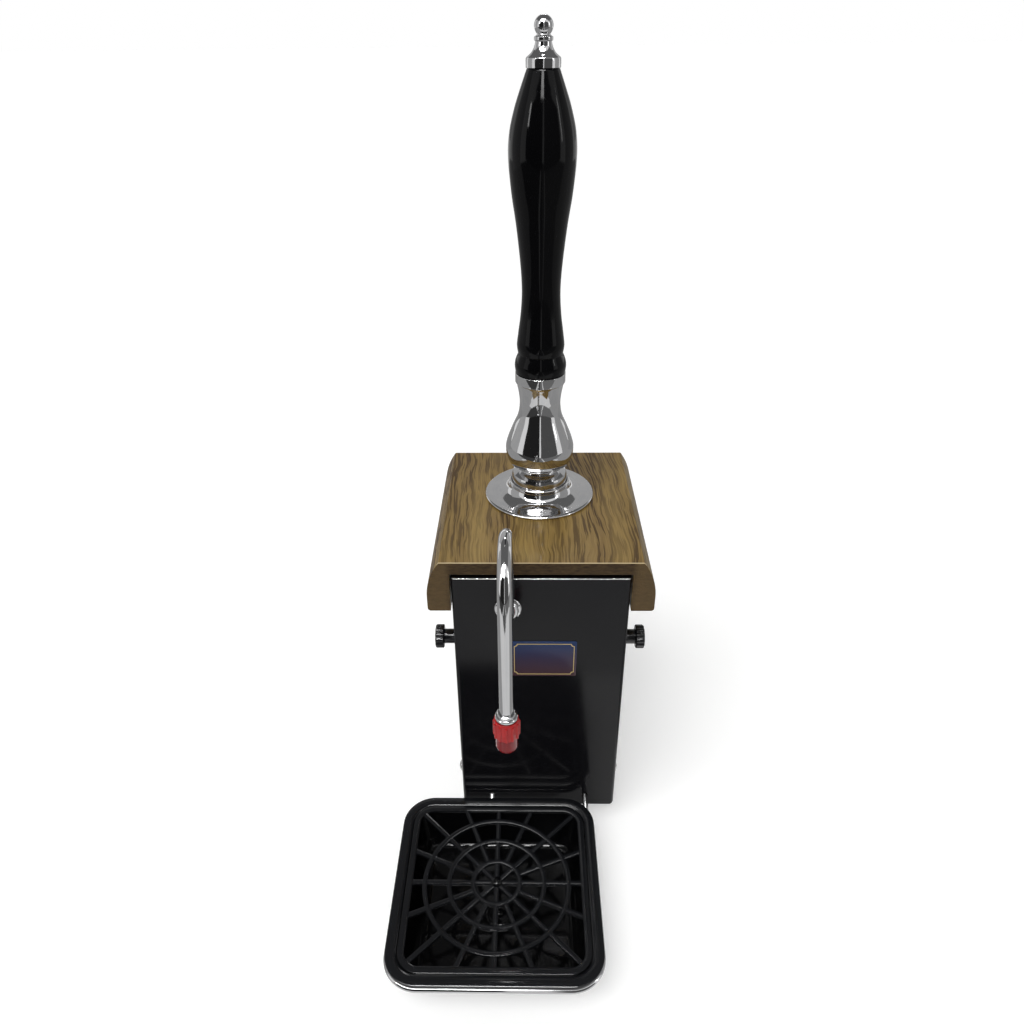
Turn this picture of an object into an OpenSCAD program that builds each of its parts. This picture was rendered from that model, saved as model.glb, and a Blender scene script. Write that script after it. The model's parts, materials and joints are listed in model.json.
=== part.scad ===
// Clamp-on hand pump beer engine with a swan-neck spout and a wire-held drip tray.
// Origin: centre of the underside of the seat, on the bar's top. +Z is up and the front faces -Y.
// Sizes are in millimetres.

/* [View] */
// Sub-part to draw, or "all"

/* [Casing] */
// Outside width of the sheet casing
casing_w = 130; // [128:1:140]
// Depth of the casing in front of the bar's edge
casing_d = 110; // [108:1:118]
// Height of the casing's bottom edge below the bar's top
casing_drop = 211.8; // [208:1:230]
// Sheet thickness of the casing
sheet = 1.5; // [1.2:0.1:2]
// Depth of the fold along the top of the front
fold_d = 9; // [6:1:9]

/* [Wooden cap] */
// Overall width of the cap
cap_w = 166; // [164:1:176]
// Height of the cap's flat top above the bar
cap_top = 43; // [43:1:48]
// Thickness of the cap's top board
cap_board = 10; // [9:0.5:12]
// Radius of the rounded long edges
cap_edge_r = 50.8; // [46:0.1:54]

/* [Bar clamp] */
// Depth of the seat on the bar
seat_d = 62; // [60:1:74]
// Thickest bar top that fits between seat and pads
bar_gap = 65; // [60:1:72]
// Travel of the clamp pads
clamp_travel = 45; // [30:1:45]
// Distance between the two clamp screws
clamp_pitch_x = 70; // [60:1:74]
// Radius of the clamp screws
clamp_r = 5; // [4.5:0.5:5.5]

/* [Pump] */
// Bore of the pump cylinder
bore_d = 62; // [58:1:63]
// Wall of the pump cylinder
bore_wall = 3; // [2.5:0.5:3]
// Height of the piston
piston_h = 20; // [18:1:24]
// Swing of the handle each way from upright
swing = 22; // [18:1:22]
// Forward reach of the lever's fork at rest
arm_reach = 57; // [55:1:58]
// Angle of the fork below level at rest
arm_drop = 18; // [16:1:20]
// Diameter of the roller in the crosshead
roller_d = 14; // [12:1:14]

/* [Handle] */
// Largest diameter of the black handle
grip_d = 45; // [42:1:50]
// Length of the black handle
grip_h = 197.7; // [180:1:220]
// Height of the ferrule above the cap
ferrule_h = 104.2; // [100:0.1:112]
// Largest diameter of the ferrule's bulb
bulb_d = 52.9; // [50:1:54]
// Diameter of the rose
rose_d = 86.8; // [86:1:92]

/* [Spout] */
// Outside diameter of the swan neck
tube_d = 9.5; // [9:0.5:10]
// Sideways place of the spout
spout_x = -24; // [-26:1:-20]
// Distance between the two legs of the arch
arch_w = 61; // [56:1:70]
// Height of the arch's centre line above the bar
arch_top = 90; // [84:1:110]
// Height of the nozzle's upper edge
nozzle_z = -25.3; // [-30:0.1:-20]

/* [Drip tray] */
// Outside size of the square rim
tray_w = 158; // [150:1:162]
// Sideways place of the tray's centre
tray_x = -33.4; // [-34:0.1:-30]
// Height of the rim's top above the casing's bottom edge
tray_rise = 14.8; // [14:0.2:20]
// Depth of the tray
tray_depth = 38; // [30:1:45]
// Corner radius of the rim
tray_r = 25; // [20:1:28]
// Wire diameter of the holder
wire_d = 5; // [4:0.5:5]
// Spokes in the grid
spokes = 16; // [8:4:20]

/* [Hidden] */
$fn = 64;
// Casing and bar
bar_edge = -seat_d / 2;
front = bar_edge - casing_d;
plate_t = 3;
casing_top = cap_top - cap_board - plate_t;
casing_in = casing_w / 2 - sheet;
// Wooden cap
cap_in = casing_w / 2 + 1;
cap_bottom = 0.5;
// Frame plates
cheek_out = casing_in - 3;
cheek_in = cheek_out - plate_t;
pad_t = 2;
// Lever
hub_r = 11;
fulcrum_r = 6;
fulcrum_y = bar_edge - 9;
fulcrum_z = cap_top - 34;
rho = arm_reach / cos(arm_drop);
tine_in = 9.2;
tine_out = 15.2;
fork_pin_r = 4;
pin_y = fulcrum_y - arm_reach;
pin_z = fulcrum_z - arm_reach * tan(arm_drop);
// Ball of the ferrule in the rose
ball_r = 22;
ball_z = 14.5;
rose_bore = ball_r + 0.3;
rose_travel = (cap_top - fulcrum_z + ball_z) * sin(swing);
slot_half = (cap_top - fulcrum_z) * tan(swing) + 7 / cos(swing) + 1;
// Crosshead and piston
yoke_w = 8;
yoke_r = roller_d / 2 + 5.25;
run_front = rho * cos(arm_drop - swing);
run_back = rho * cos(arm_drop + swing);
pump_y = fulcrum_y - (run_front + run_back) / 2;
run_half = (run_front - run_back) / 2 / cos(arm_drop) + 0.6;
yoke_z = pin_z + (pump_y - pin_y) * tan(arm_drop);
lift = rho / cos(arm_drop) * sin(swing);
yoke_low = yoke_z - run_half * sin(arm_drop) - yoke_r;
rod_r = 5;
gland_top = yoke_low - lift - 2.5;
shelf_t = 4;
cap_t = 10;
shelf_z = gland_top - 8;
bore_top = shelf_z - cap_t;
bore_len = 2 * lift + piston_h + 3;
bore_low = bore_top - bore_len;
low_cap_t = 15;
block_top = bore_low - low_cap_t;
block_h = 26;
piston_z = bore_top - bore_len / 2;
tube_r = bore_d / 2 + bore_wall;
end_w = 2 * tube_r + 4;
tie_x = tube_r - 4;
// Delivery side
pipe_r = 4;
pipe_y = front + 7;
spout_z = 3.5;
out_y = front + 11.5;
// Swan neck
neck_foot = 5;
bend_r = 9;
riser_y = front - neck_foot - bend_r;
arch_r = arch_w / 2;
leg_y = riser_y - arch_w;
arch_z = arch_top - arch_r;
// Clamp
bracket_t = 8;
pad_top = -bar_gap;
bracket_z = pad_top - 22;
clamp_y = 4;
knob_top = bracket_z - clamp_travel - 2;
knob_r = 14;
// Side screws
side_y = front + 25;
thumb_z = -44;
low_screw_z = 19.8 - casing_drop;
// Tray
tray_z = tray_rise - casing_drop;
tray_y = front - 5.8 - tray_w / 2;
rim_w = 8;
rim_t = 3.5;
basin_w = tray_w - 24;
grid_w = tray_w - 2 * rim_w - 2;
wire_r = wire_d / 2;
ring_half = tray_w / 2 + 1 - wire_r;
ring_r = tray_r + 1 - wire_r;
wire_z = tray_z - rim_t - wire_r - 0.2;
prong_x = tray_x + ring_half - 4.1;
prong_r = wire_r - 0.2;
prong_z = wire_z + 3.2;
prong_in = 30;

// ---------- Shared shapes ----------

// Rounded rectangle about the origin
module round_rect(w, h, r) {
  square([w - 2 * r, h], center = true);
  square([w, h - 2 * r], center = true);
  for (sx = [-1, 1], sy = [-1, 1])
    translate([sx * (w / 2 - r), sy * (h / 2 - r)])
      circle(r = r);
}

// Two discs joined by a straight-sided web that ends just inside them
module link2d(p, rp, q, rq) {
  d = q - p;
  u = d / norm(d);
  n = [-u[1], u[0]];
  a = rp - 0.05;
  b = rq - 0.05;
  translate(p)
    circle(r = rp);
  translate(q)
    circle(r = rq);
  polygon([p + n * a, p - n * a, q - n * b, q + n * b]);
}

// Plate lying across X, drawn in the Y-Z plane
module across(x0, x1) {
  translate([x0, 0, 0])
    rotate([90, 0, 90])
      linear_extrude(x1 - x0)
        children();
}

// Cylinder along X
module rod_x(y, z, r, x0, x1) {
  translate([x0, y, z])
    rotate([0, 90, 0])
      cylinder(r = r, h = x1 - x0);
}

// Cylinder along Y
module rod_y(x, z, r, y0, y1) {
  translate([x, y1, z])
    rotate([90, 0, 0])
      cylinder(r = r, h = y1 - y0);
}

// Cylinder along Z
module rod_z(x, y, r, z0, z1) {
  translate([x, y, z0])
    cylinder(r = r, h = z1 - z0);
}

// Smooth curve through stations [radius, height], n steps between two stations
function hermite(a, b, c, d, t) =
  0.5 * (2 * b + (c - a) * t + (2 * a - 5 * b + 4 * c - d) * t * t
  + (3 * b - a - 3 * c + d) * t * t * t);
function smooth(s, n) = [
  for (i = [0:len(s) - 2], k = [0:n - 1])
    hermite(s[max(i - 1, 0)], s[i], s[i + 1], s[min(i + 2, len(s) - 1)], k / n),
  s[len(s) - 1]
];

// ---------- Wooden cap and casing ----------

// Cross-section of the cap, in X and height
module cap_section() {
  arc_x = cap_w / 2 - cap_edge_r;
  arc_z = cap_top - 30;
  corner = 2.5;
  difference() {
    intersection() {
      translate([-cap_w / 2, cap_bottom])
        square([cap_w, cap_top - cap_bottom]);
      union() {
        translate([-arc_x, arc_z - 10])
          square([2 * arc_x, 60]);
        for (s = [-1, 1])
          translate([s * arc_x, arc_z])
            circle(r = cap_edge_r, $fn = 128);
        for (s = [-1, 1])
          translate([s * (cap_w / 2 + cap_in - 1) / 2, (arc_z + cap_bottom) / 2])
            round_rect(cap_w / 2 - cap_in + 1, arc_z - cap_bottom, corner);
        translate([-cap_w / 2, cap_bottom + corner + 1])
          square([cap_w, arc_z - cap_bottom - corner - 1]);
      }
    }
    translate([-cap_in, cap_bottom - 100])
      square([2 * cap_in, cap_top - cap_board - cap_bottom + 100]);
    for (s = [-1, 1])
      translate([s * cap_w / 2, cap_bottom])
        difference() {
          square(2 * corner, center = true);
          translate([-s * corner, corner])
            circle(r = corner);
        }
  }
}

module wood_cap() {
  color("#6b5436")
  difference() {
    translate([0, -bar_edge, 0])
      rotate([90, 0, 0])
        linear_extrude(casing_d + seat_d - 0.5)
          cap_section();
    translate([0, fulcrum_y, cap_top - cap_board - 1])
      linear_extrude(cap_board + 2)
        round_rect(17, 2 * slot_half, 8);
    for (x = [-1, 1], y = [front + 18, -bar_edge - 14])
      rod_z(x * 45, y, 2, casing_top, cap_top - 3);
  }
}

module cap_screws() {
  color("#8d9093")
  for (x = [-1, 1], y = [front + 18, -bar_edge - 14]) {
    rod_z(x * 45, y, 1.9, casing_top, cap_top - 4);
    rod_z(x * 45, y, 4, casing_top - 2.2, casing_top);
  }
}

module casing() {
  fold_r = 3;
  color("#101113")
  difference() {
    union() {
      translate([0, front + casing_d - 2, -casing_drop])
        mirror([0, 1, 0])
          linear_extrude(casing_top + casing_drop)
            difference() {
              union() {
                translate([-casing_w / 2, 0])
                  square([casing_w, casing_d - 2 - fold_r]);
                translate([0, (casing_d - 2) / 2 + 5])
                  round_rect(casing_w, casing_d - 12, fold_r);
              }
              translate([-casing_in, -1])
                square([2 * casing_in, casing_d - 2 - fold_r]);
              translate([0, (casing_d - 2) / 2 + 5])
                round_rect(2 * casing_in, casing_d - 12 - 2 * sheet, fold_r - sheet);
            }
      translate([-casing_in, front + sheet, casing_top - sheet])
        cube([2 * casing_in, fold_d, sheet]);
    }
    rod_y(spout_x, spout_z, 5.1, front - 1, front + sheet + 1);
    for (s = [-1, 1]) {
      rod_y(s * prong_x, prong_z, prong_r + 0.6, front - 1, front + sheet + 1);
      rod_x(side_y, thumb_z, 3.6, s * casing_in - 3, s * casing_in + 3);
      rod_x(side_y, low_screw_z, 2.3, s * casing_in - 3, s * casing_in + 3);
    }
    for (s = [-1, 1])
      translate([s * casing_w / 2, front, -casing_drop])
        rotate([90, 0, 0])
          linear_extrude(6, center = true)
            difference() {
              square(8, center = true);
              translate([-s * 4, 4])
                circle(r = 4);
            }
  }
}

module name_plate() {
  color("#2c2a55")
  translate([3, front, -45])
    rotate([90, 0, 0]) {
      linear_extrude(0.8)
        round_rect(49.4, 34.1, 1.5);
      translate([0, 0, 0.8])
        linear_extrude(0.3)
          difference() {
            round_rect(46.6, 31.3, 1.2);
            round_rect(45.4, 30.1, 1);
          }
    }
}

module side_screws() {
  head_r = 5.5;
  color("#9a9da0")
  for (s = [-1, 1])
    translate([s * casing_w / 2, side_y, low_screw_z])
      rotate([0, s * 90, 0])
        rotate_extrude()
          polygon(concat(
            [[0, cheek_in - 2 - casing_w / 2], [2, cheek_in - 2 - casing_w / 2], [2, 0]],
            [[head_r, 0], [head_r, 1.2]],
            [for (a = [10:10:80]) [head_r * cos(a), 1.2 + 3.4 * sin(a)]],
            [[0, 4.6]]
          ));
}

// ---------- Frame ----------

module top_plate() {
  color("#7d8083")
  translate([0, 0, casing_top])
    linear_extrude(plate_t)
      difference() {
        translate([-cheek_out, front + sheet + fold_d + 1])
          square([2 * cheek_out, casing_d + seat_d - sheet - fold_d - 5]);
        translate([0, (pump_y + fulcrum_y) / 2 + 2])
          square([24, fulcrum_y - pump_y + 2 * slot_half + 8], center = true);
        for (x = [-1, 1], y = [front + 18, -bar_edge - 14])
          translate([x * 45, y])
            circle(r = 2.05);
      }
}

module cheek(s) {
  low = -casing_drop + 12;
  color("#85888b")
  mirror([s < 0 ? 1 : 0, 0, 0])
    difference() {
      union() {
        across(cheek_in, cheek_out)
          difference() {
            union() {
              translate([(front + 5 + bar_edge) / 2, (casing_top + low) / 2])
                round_rect(bar_edge - front - 5, casing_top - low, 5);
              translate([bar_edge - 8, pad_t])
                square([4 - 2 * bar_edge, casing_top - pad_t]);
              translate([bar_edge - 8, bracket_z - 10])
                square([clamp_y + 16 - bar_edge + 8, bracket_t + 14]);
              translate([bar_edge - 40, casing_top - 20])
                square([40, 20]);
            }
            translate([front, casing_top - sheet - 1])
              square([sheet + fold_d + 1, 10]);
            translate([front + 52, shelf_z - 46])
              circle(r = 24);
            translate([front + 52, low + 30])
              circle(r = 18);
            translate([-bar_edge - 20, (casing_top + pad_t) / 2])
              circle(r = 7);
          }
        rod_x(side_y, thumb_z, 7, cheek_in - 3, casing_in);
        rod_x(side_y, low_screw_z, 5, cheek_in - 2, casing_in);
      }
      rod_x(side_y, thumb_z, 3.06, cheek_in - 4, casing_in + 1);
      rod_x(side_y, low_screw_z, 2.05, cheek_in - 4, casing_in + 1);
      rod_x(fulcrum_y, fulcrum_z, fulcrum_r + 0.02, cheek_in - 1, cheek_out + 1);
    }
}

module cheek_left() {
  cheek(-1);
}

module cheek_right() {
  cheek(1);
}

module seat_plate() {
  color("#85888b")
  translate([-cheek_in, bar_edge + 3.5, pad_t])
    cube([2 * cheek_in, -2 * bar_edge - 7.5, plate_t]);
}

module seat_pad() {
  color("#1c1c1c")
  translate([0, 0.5, 0])
    linear_extrude(pad_t)
      round_rect(2 * cheek_out, -2 * bar_edge - 7, 3);
}

module back_plate() {
  color("#85888b")
  translate([-cheek_in, bar_edge - plate_t, bracket_z])
    cube([2 * cheek_in, plate_t, -bracket_z - 6]);
}

module clamp_bracket() {
  color("#85888b")
  difference() {
    union() {
      translate([0, (bar_edge + clamp_y + 16) / 2, bracket_z])
        linear_extrude(bracket_t)
          square([2 * cheek_in, clamp_y + 16 - bar_edge], center = true);
      for (s = [-1, 1])
        rod_z(s * clamp_pitch_x / 2, clamp_y, 10, bracket_z - 1.5, bracket_z + bracket_t);
    }
    for (s = [-1, 1])
      rod_z(s * clamp_pitch_x / 2, clamp_y, clamp_r + 0.06, bracket_z - 3, bracket_z + bracket_t + 1);
  }
}

module pump_shelf() {
  color("#85888b")
  difference() {
    union() {
      translate([-cheek_in, front + 12.2, shelf_z])
        cube([2 * cheek_in, pump_y + tube_r + 4 - front - 12.2, shelf_t]);
      for (s = [-1, 1])
        translate([s > 0 ? cheek_in - plate_t : -cheek_in, front + 12.2, shelf_z - 14])
          cube([plate_t, pump_y + tube_r + 4 - front - 12.2, 14]);
    }
    rod_z(0, pump_y, 14, shelf_z - 1, shelf_z + shelf_t + 1);
    for (sx = [-1, 1], sy = [-1, 1])
      rod_z(sx * tie_x, pump_y + sy * tie_x, 3.2, shelf_z - 1, shelf_z + shelf_t + 1);
  }
}

module prong_sleeves() {
  color("#85888b")
  for (s = [-1, 1])
    difference() {
      rod_y(s * prong_x, prong_z, wire_r + 2, front + sheet, front + sheet + prong_in);
      rod_y(s * prong_x, prong_z, prong_r + 0.08, front + sheet - 1, front + sheet + prong_in + 1);
    }
}

// ---------- Pump ----------

module fulcrum_pin() {
  color("#b9bcbe")
  rod_x(fulcrum_y, fulcrum_z, fulcrum_r, -cheek_out - 1.4, cheek_out + 1.4);
}

module fulcrum_spacers() {
  color("#9ea1a4")
  for (s = [-1, 1])
    mirror([s < 0 ? 1 : 0, 0, 0])
      difference() {
        rod_x(fulcrum_y, fulcrum_z, fulcrum_r + 3, tine_out + 0.4, cheek_in);
        rod_x(fulcrum_y, fulcrum_z, fulcrum_r + 0.02, tine_out, cheek_in + 1);
      }
}

module upper_cap() {
  color("#c9b48a")
  difference() {
    union() {
      translate([0, pump_y, bore_top])
        linear_extrude(cap_t)
          round_rect(end_w, end_w, 7);
      rod_z(0, pump_y, 13, bore_top, gland_top - 2);
    }
    rod_z(0, pump_y, 8, bore_top - 1, gland_top + 1);
    for (sx = [-1, 1], sy = [-1, 1])
      rod_z(sx * tie_x, pump_y + sy * tie_x, 3.05, bore_top - 1, bore_top + cap_t + 1);
  }
}

module gland_bush() {
  color("#b08d4f")
  difference() {
    union() {
      rod_z(0, pump_y, 8, bore_top, gland_top - 2);
      rod_z(0, pump_y, 10.5, gland_top - 2, gland_top);
    }
    rod_z(0, pump_y, rod_r + 0.05, bore_top - 1, gland_top + 1);
  }
}

module cylinder_tube() {
  color("#d9dcdc")
  difference() {
    rod_z(0, pump_y, tube_r, bore_low, bore_top);
    rod_z(0, pump_y, bore_d / 2, bore_low - 1, bore_top + 1);
  }
}

module lower_cap() {
  color("#c9b48a")
  difference() {
    translate([0, pump_y, block_top])
      linear_extrude(low_cap_t)
        round_rect(end_w, end_w, 7);
    translate([0, pump_y, block_top - 1])
      linear_extrude(low_cap_t + 2) {
        circle(r = 5);
        square([18, 4], center = true);
        square([4, 18], center = true);
      }
    rod_z(-18, pump_y - 17, 3.5, block_top - 1, bore_low + 1);
    for (sx = [-1, 1], sy = [-1, 1])
      rod_z(sx * tie_x, pump_y + sy * tie_x, 3.05, bore_low - 11, bore_low + 1);
  }
}

module tie_rods() {
  color("#b9bcbe")
  for (sx = [-1, 1], sy = [-1, 1]) {
    rod_z(sx * tie_x, pump_y + sy * tie_x, 3, bore_low - 10.5, shelf_z + shelf_t + 4.5);
    rod_z(sx * tie_x, pump_y + sy * tie_x, 5.4, shelf_z + shelf_t, shelf_z + shelf_t + 3);
  }
}

module valve_block() {
  seat = block_top - 15.5;
  color("#c9b48a")
  difference() {
    translate([0, 0, block_top - block_h])
      linear_extrude(block_h) {
        link2d([0, pump_y], 17, [spout_x, out_y], 9);
        translate([-18, pump_y - 17])
          circle(r = 8);
      }
    rod_z(0, pump_y, 10, block_top - 19.5, block_top + 1);
    rod_z(0, pump_y, 5, block_top - block_h - 1, block_top);
    rod_z(-18, pump_y - 17, 3.5, block_top - 21, block_top + 1);
    rod_z(spout_x, out_y, 6.5, seat, block_top - 3.5);
    rod_z(spout_x, out_y, 3.2, block_top - 21, block_top - 10);
    translate([(spout_x - 18) / 2, (out_y + pump_y - 17) / 2, block_top - 19.5])
      cube([8, pump_y - 17 - out_y, 3], center = true);
    rod_z(spout_x, pipe_y, 3, block_top - 5, block_top + 1);
  }
}

module hose_tail() {
  low = block_top - block_h;
  color("#c8a552")
  translate([0, pump_y, 0])
    rotate_extrude()
      polygon([
        [3.2, low], [11, low], [11, low - 5], [6, low - 5], [6, low - 8], [5, low - 11],
        [6, low - 11], [5, low - 14], [5, low - 24], [3.2, low - 24]
      ]);
}

module delivery_pipe() {
  color("#d9dcdc")
  difference() {
    rod_z(spout_x, pipe_y, pipe_r, block_top, spout_z - 8);
    rod_z(spout_x, pipe_y, 3, block_top - 1, spout_z - 7);
  }
}

module spout_elbow() {
  color("#c8a552")
  difference() {
    union() {
      rod_z(spout_x, pipe_y, 5.4, spout_z - 8, spout_z);
      rod_y(spout_x, spout_z, 5.4, front + sheet, front + 13);
      rod_y(spout_x, spout_z, 5, front, front + sheet);
    }
    rod_z(spout_x, pipe_y, 3, spout_z - 9, spout_z);
    rod_y(spout_x, spout_z, 3, front - 1, front + 10);
  }
}

// ---------- Spout ----------

module spout_flange() {
  color("#d7dadd")
  translate([spout_x, front, spout_z])
    rotate([90, 0, 0])
      rotate_extrude()
        polygon([
          [tube_d / 2, 0], [10.1, 0], [10.1, 1.2], [9.4, 2], [7.6, 2.4],
          [7.6, 4.1], [6.9, neck_foot], [tube_d / 2, neck_foot]
        ]);
}

// Straight length of tube along Z
module tube_z(y, z0, z1) {
  translate([spout_x, y, z0])
    linear_extrude(z1 - z0)
      tube_ring();
}

// Cross-section of the swan neck
module tube_ring() {
  difference() {
    circle(d = tube_d);
    circle(d = tube_d - 3);
  }
}

module swan_neck() {
  color("#d7dadd")
  union() {
    translate([spout_x, front, spout_z])
      rotate([90, 0, 0])
        linear_extrude(neck_foot)
          tube_ring();
    translate([spout_x, front - neck_foot, spout_z + bend_r])
      rotate([0, 90, 0])
        rotate([0, 0, -90])
          rotate_extrude(angle = 90)
            translate([bend_r, 0])
              tube_ring();
    tube_z(riser_y, spout_z + bend_r, arch_z);
    translate([spout_x, riser_y - arch_r, arch_z])
      rotate([90, 0, 90])
        rotate_extrude(angle = 180)
          translate([arch_r, 0])
            tube_ring();
    tube_z(leg_y, nozzle_z, arch_z);
  }
}

module nozzle() {
  color("#d7dadd")
  translate([spout_x, leg_y, nozzle_z])
    rotate_extrude()
      polygon([
        [tube_d / 2 - 1.5, 0], [tube_d / 2 + 1, 0], [6.5, -0.4], [6.5, -1.9], [6.1, -2.2],
        [7.4, -2.5], [7.7, -2.9], [7.7, -4.6], [7.3, -5.1], [5.2, -5.1],
        [5.2, -14.6], [tube_d / 2 - 1.5, -14.6]
      ]);
}

module sparkler_seal() {
  color("#1c1c1c")
  translate([spout_x, leg_y, nozzle_z - 16.8])
    difference() {
      cylinder(r = 5.6, h = 1.8);
      translate([0, 0, -1])
        cylinder(r = 3, h = 4);
    }
}

module sparkler() {
  color("#c4202c")
  translate([spout_x, leg_y, nozzle_z])
    difference() {
      union() {
        translate([0, 0, -20.7])
          cylinder(r = 8.5, h = 15);
        for (a = [0:30:330])
          rotate(a)
            translate([8.25, 0, -20.7])
              cylinder(r = 1.15, h = 13.6, $fn = 24);
        translate([0, 0, -32.9])
          rotate_extrude()
            polygon([[0, 0], [6.5, 0], [7.3, 0.9], [7.65, 2.6], [7.65, 13], [0, 13]]);
      }
      translate([0, 0, -6.7])
        cylinder(r = 7, h = 2);
      translate([0, 0, -15.1])
        cylinder(r = 5.26, h = 10);
      translate([0, 0, -17.1])
        cylinder(r = 5.8, h = 2.6);
      translate([0, 0, -31.4])
        cylinder(r = 5, h = 15);
      for (a = [0:60:300])
        rotate(a)
          translate([3, 0, -34])
            cylinder(r = 0.7, h = 4, $fn = 16);
      translate([0, 0, -34])
        cylinder(r = 0.7, h = 4, $fn = 16);
    }
}

// ---------- Lever and handle ----------

module lever_arm() {
  color("#a5a8aa")
  difference() {
    union() {
      rod_x(fulcrum_y, fulcrum_z, hub_r, -tine_out, tine_out);
      for (x = [-tine_out, tine_in])
        across(x, x + tine_out - tine_in)
          link2d([fulcrum_y, fulcrum_z], hub_r, [pin_y, pin_z], 8.5);
      rod_z(0, fulcrum_y, 7, fulcrum_z, cap_top + 6.5);
      rod_z(0, fulcrum_y, 5, cap_top + 6.5, cap_top + ferrule_h + 55.8);
    }
    rod_x(fulcrum_y, fulcrum_z, fulcrum_r + 2, -tine_out - 1, tine_out + 1);
    rod_x(pin_y, pin_z, fork_pin_r, -tine_out - 1, tine_out + 1);
  }
}

module lever_bush() {
  color("#b08d4f")
  difference() {
    rod_x(fulcrum_y, fulcrum_z, fulcrum_r + 2, -tine_out - 0.2, tine_out + 0.2);
    rod_x(fulcrum_y, fulcrum_z, fulcrum_r + 0.06, -tine_out - 1, tine_out + 1);
  }
}

module fork_pin() {
  color("#b9bcbe") {
    rod_x(pin_y, pin_z, fork_pin_r, -tine_out - 1.5, tine_out + 1.5);
    for (s = [-1, 1])
      rod_x(pin_y, pin_z, 6, s > 0 ? tine_out : -tine_out - 1.5, s > 0 ? tine_out + 1.5 : -tine_out);
  }
}

module fork_roller() {
  color("#c8a552")
  difference() {
    rod_x(pin_y, pin_z, roller_d / 2, -tine_in + 0.3, tine_in - 0.3);
    rod_x(pin_y, pin_z, fork_pin_r + 0.05, -tine_in, tine_in);
  }
}

module ferrule() {
  b = bulb_d / 2;
  k = ferrule_h / 104.2;
  color("#d7dadd")
  translate([0, fulcrum_y, cap_top])
    difference() {
      rotate_extrude()
        polygon(concat(
          [[0, 6.5], [7, 6.5]],
          [for (a = [-5:5:12]) [ball_r * cos(a), ball_z + ball_r * sin(a)]],
          smooth([[21, 20.4 * k], [18.6, 22 * k], [15.5, 24 * k], [16.4, 25.6 * k],
            [19.7, 27.3 * k], [23.6, 30.7 * k], [b - 0.6, 36.5 * k], [b, 43.2 * k],
            [b - 1.6, 50 * k], [21, 60 * k], [16.8, 70 * k], [15.5, 79.5 * k],
            [16.2, 88 * k], [17.6, 95 * k]], 4),
          [[18.6, 96.5 * k], [18.8, 98 * k], [18.8, ferrule_h], [0, ferrule_h]]
        ));
      translate([0, 0, 6])
        cylinder(r = 5.1, h = ferrule_h);
    }
}

module handle_grip() {
  g = grip_d / 2;
  k = grip_h / 197.7;
  color("#0d0d0f")
  translate([0, fulcrum_y, cap_top + ferrule_h])
    difference() {
      rotate_extrude()
        polygon(concat(
          [[0, 0], [17.6, 0]],
          smooth([[18.6, 1.2], [19.1, 5.8 * k], [18.4, 10 * k], [16.6, 14.6 * k], [16.8, 16 * k],
            [17.4, 21.4 * k], [16.4, 30 * k], [14.6, 44 * k], [13.7, 59.8 * k], [14.6, 78 * k],
            [17.4, 104 * k], [20.6, 126 * k], [g, 147.1 * k], [g - 0.9, 162 * k],
            [18.2, 176 * k], [14.4, 187 * k], [10.8, 196.6 * k]], 4),
          [[10.3, grip_h], [0, grip_h]]
        ));
      translate([0, 0, -1])
        cylinder(r = 5.1, h = 60);
      translate([0, 0, grip_h - 22])
        cylinder(r = 3.05, h = 24);
    }
}

module finial() {
  color("#d7dadd")
  translate([0, fulcrum_y, cap_top + ferrule_h + grip_h])
    rotate_extrude()
      polygon(concat(
        [[0, -20], [3, -20], [3, 0], [10.6, 0]],
        smooth([[10.95, 1], [10.95, 5.2], [10.2, 6.4], [7.6, 8.6], [5.9, 11.4], [5.1, 14.2]], 3),
        [[5.9, 15.2], [5.9, 16.6], [4.4, 17.6]],
        [for (a = [-48:12:84]) [5.95 * cos(a), 22.6 + 5.95 * sin(a)]],
        [[0, 28.55]]
      ));
}

module rose() {
  e = rose_d / 2;
  color("#d7dadd")
  translate([0, fulcrum_y, cap_top])
    rotate_extrude()
      polygon(concat(
        [[rose_bore, 0], [e - 0.6, 0], [e, 0.6]],
        smooth([[e, 1.6], [e - 1.2, 2.4], [e - 6, 2.8], [e - 11, 3.4], [27.8, 4.8],
          [24.9, 7.2], [23.4, 10.2]], 4),
        [[23.3, 11.2], [24, 12], [24, 13.3], [23.5, 13.9], [rose_bore, 13.9]]
      ));
}

// ---------- Crosshead, rod and piston ----------

module crosshead() {
  ends = run_half * [cos(arm_drop), sin(arm_drop)];
  c = [pump_y, yoke_z];
  color("#a5a8aa")
  difference() {
    union() {
      across(-yoke_w, yoke_w)
        link2d(c - ends, yoke_r, c + ends, yoke_r);
      rod_z(0, pump_y, yoke_w, yoke_low - 0.5, yoke_z);
    }
    across(-yoke_w - 1, yoke_w + 1)
      link2d(c - ends, roller_d / 2 + 0.3, c + ends, roller_d / 2 + 0.3);
    rod_z(0, pump_y, 3.5, yoke_low - 1, yoke_low + 3.2);
  }
}

module piston_rod() {
  color("#c4c7c9")
  union() {
    rod_z(0, pump_y, 3.5, yoke_low - 0.5, yoke_low + 3);
    rod_z(0, pump_y, rod_r, piston_z + piston_h / 2 - 3, yoke_low - 0.5);
    rod_z(0, pump_y, 3, piston_z - piston_h / 2 + 1, piston_z + piston_h / 2 - 3);
  }
}

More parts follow.
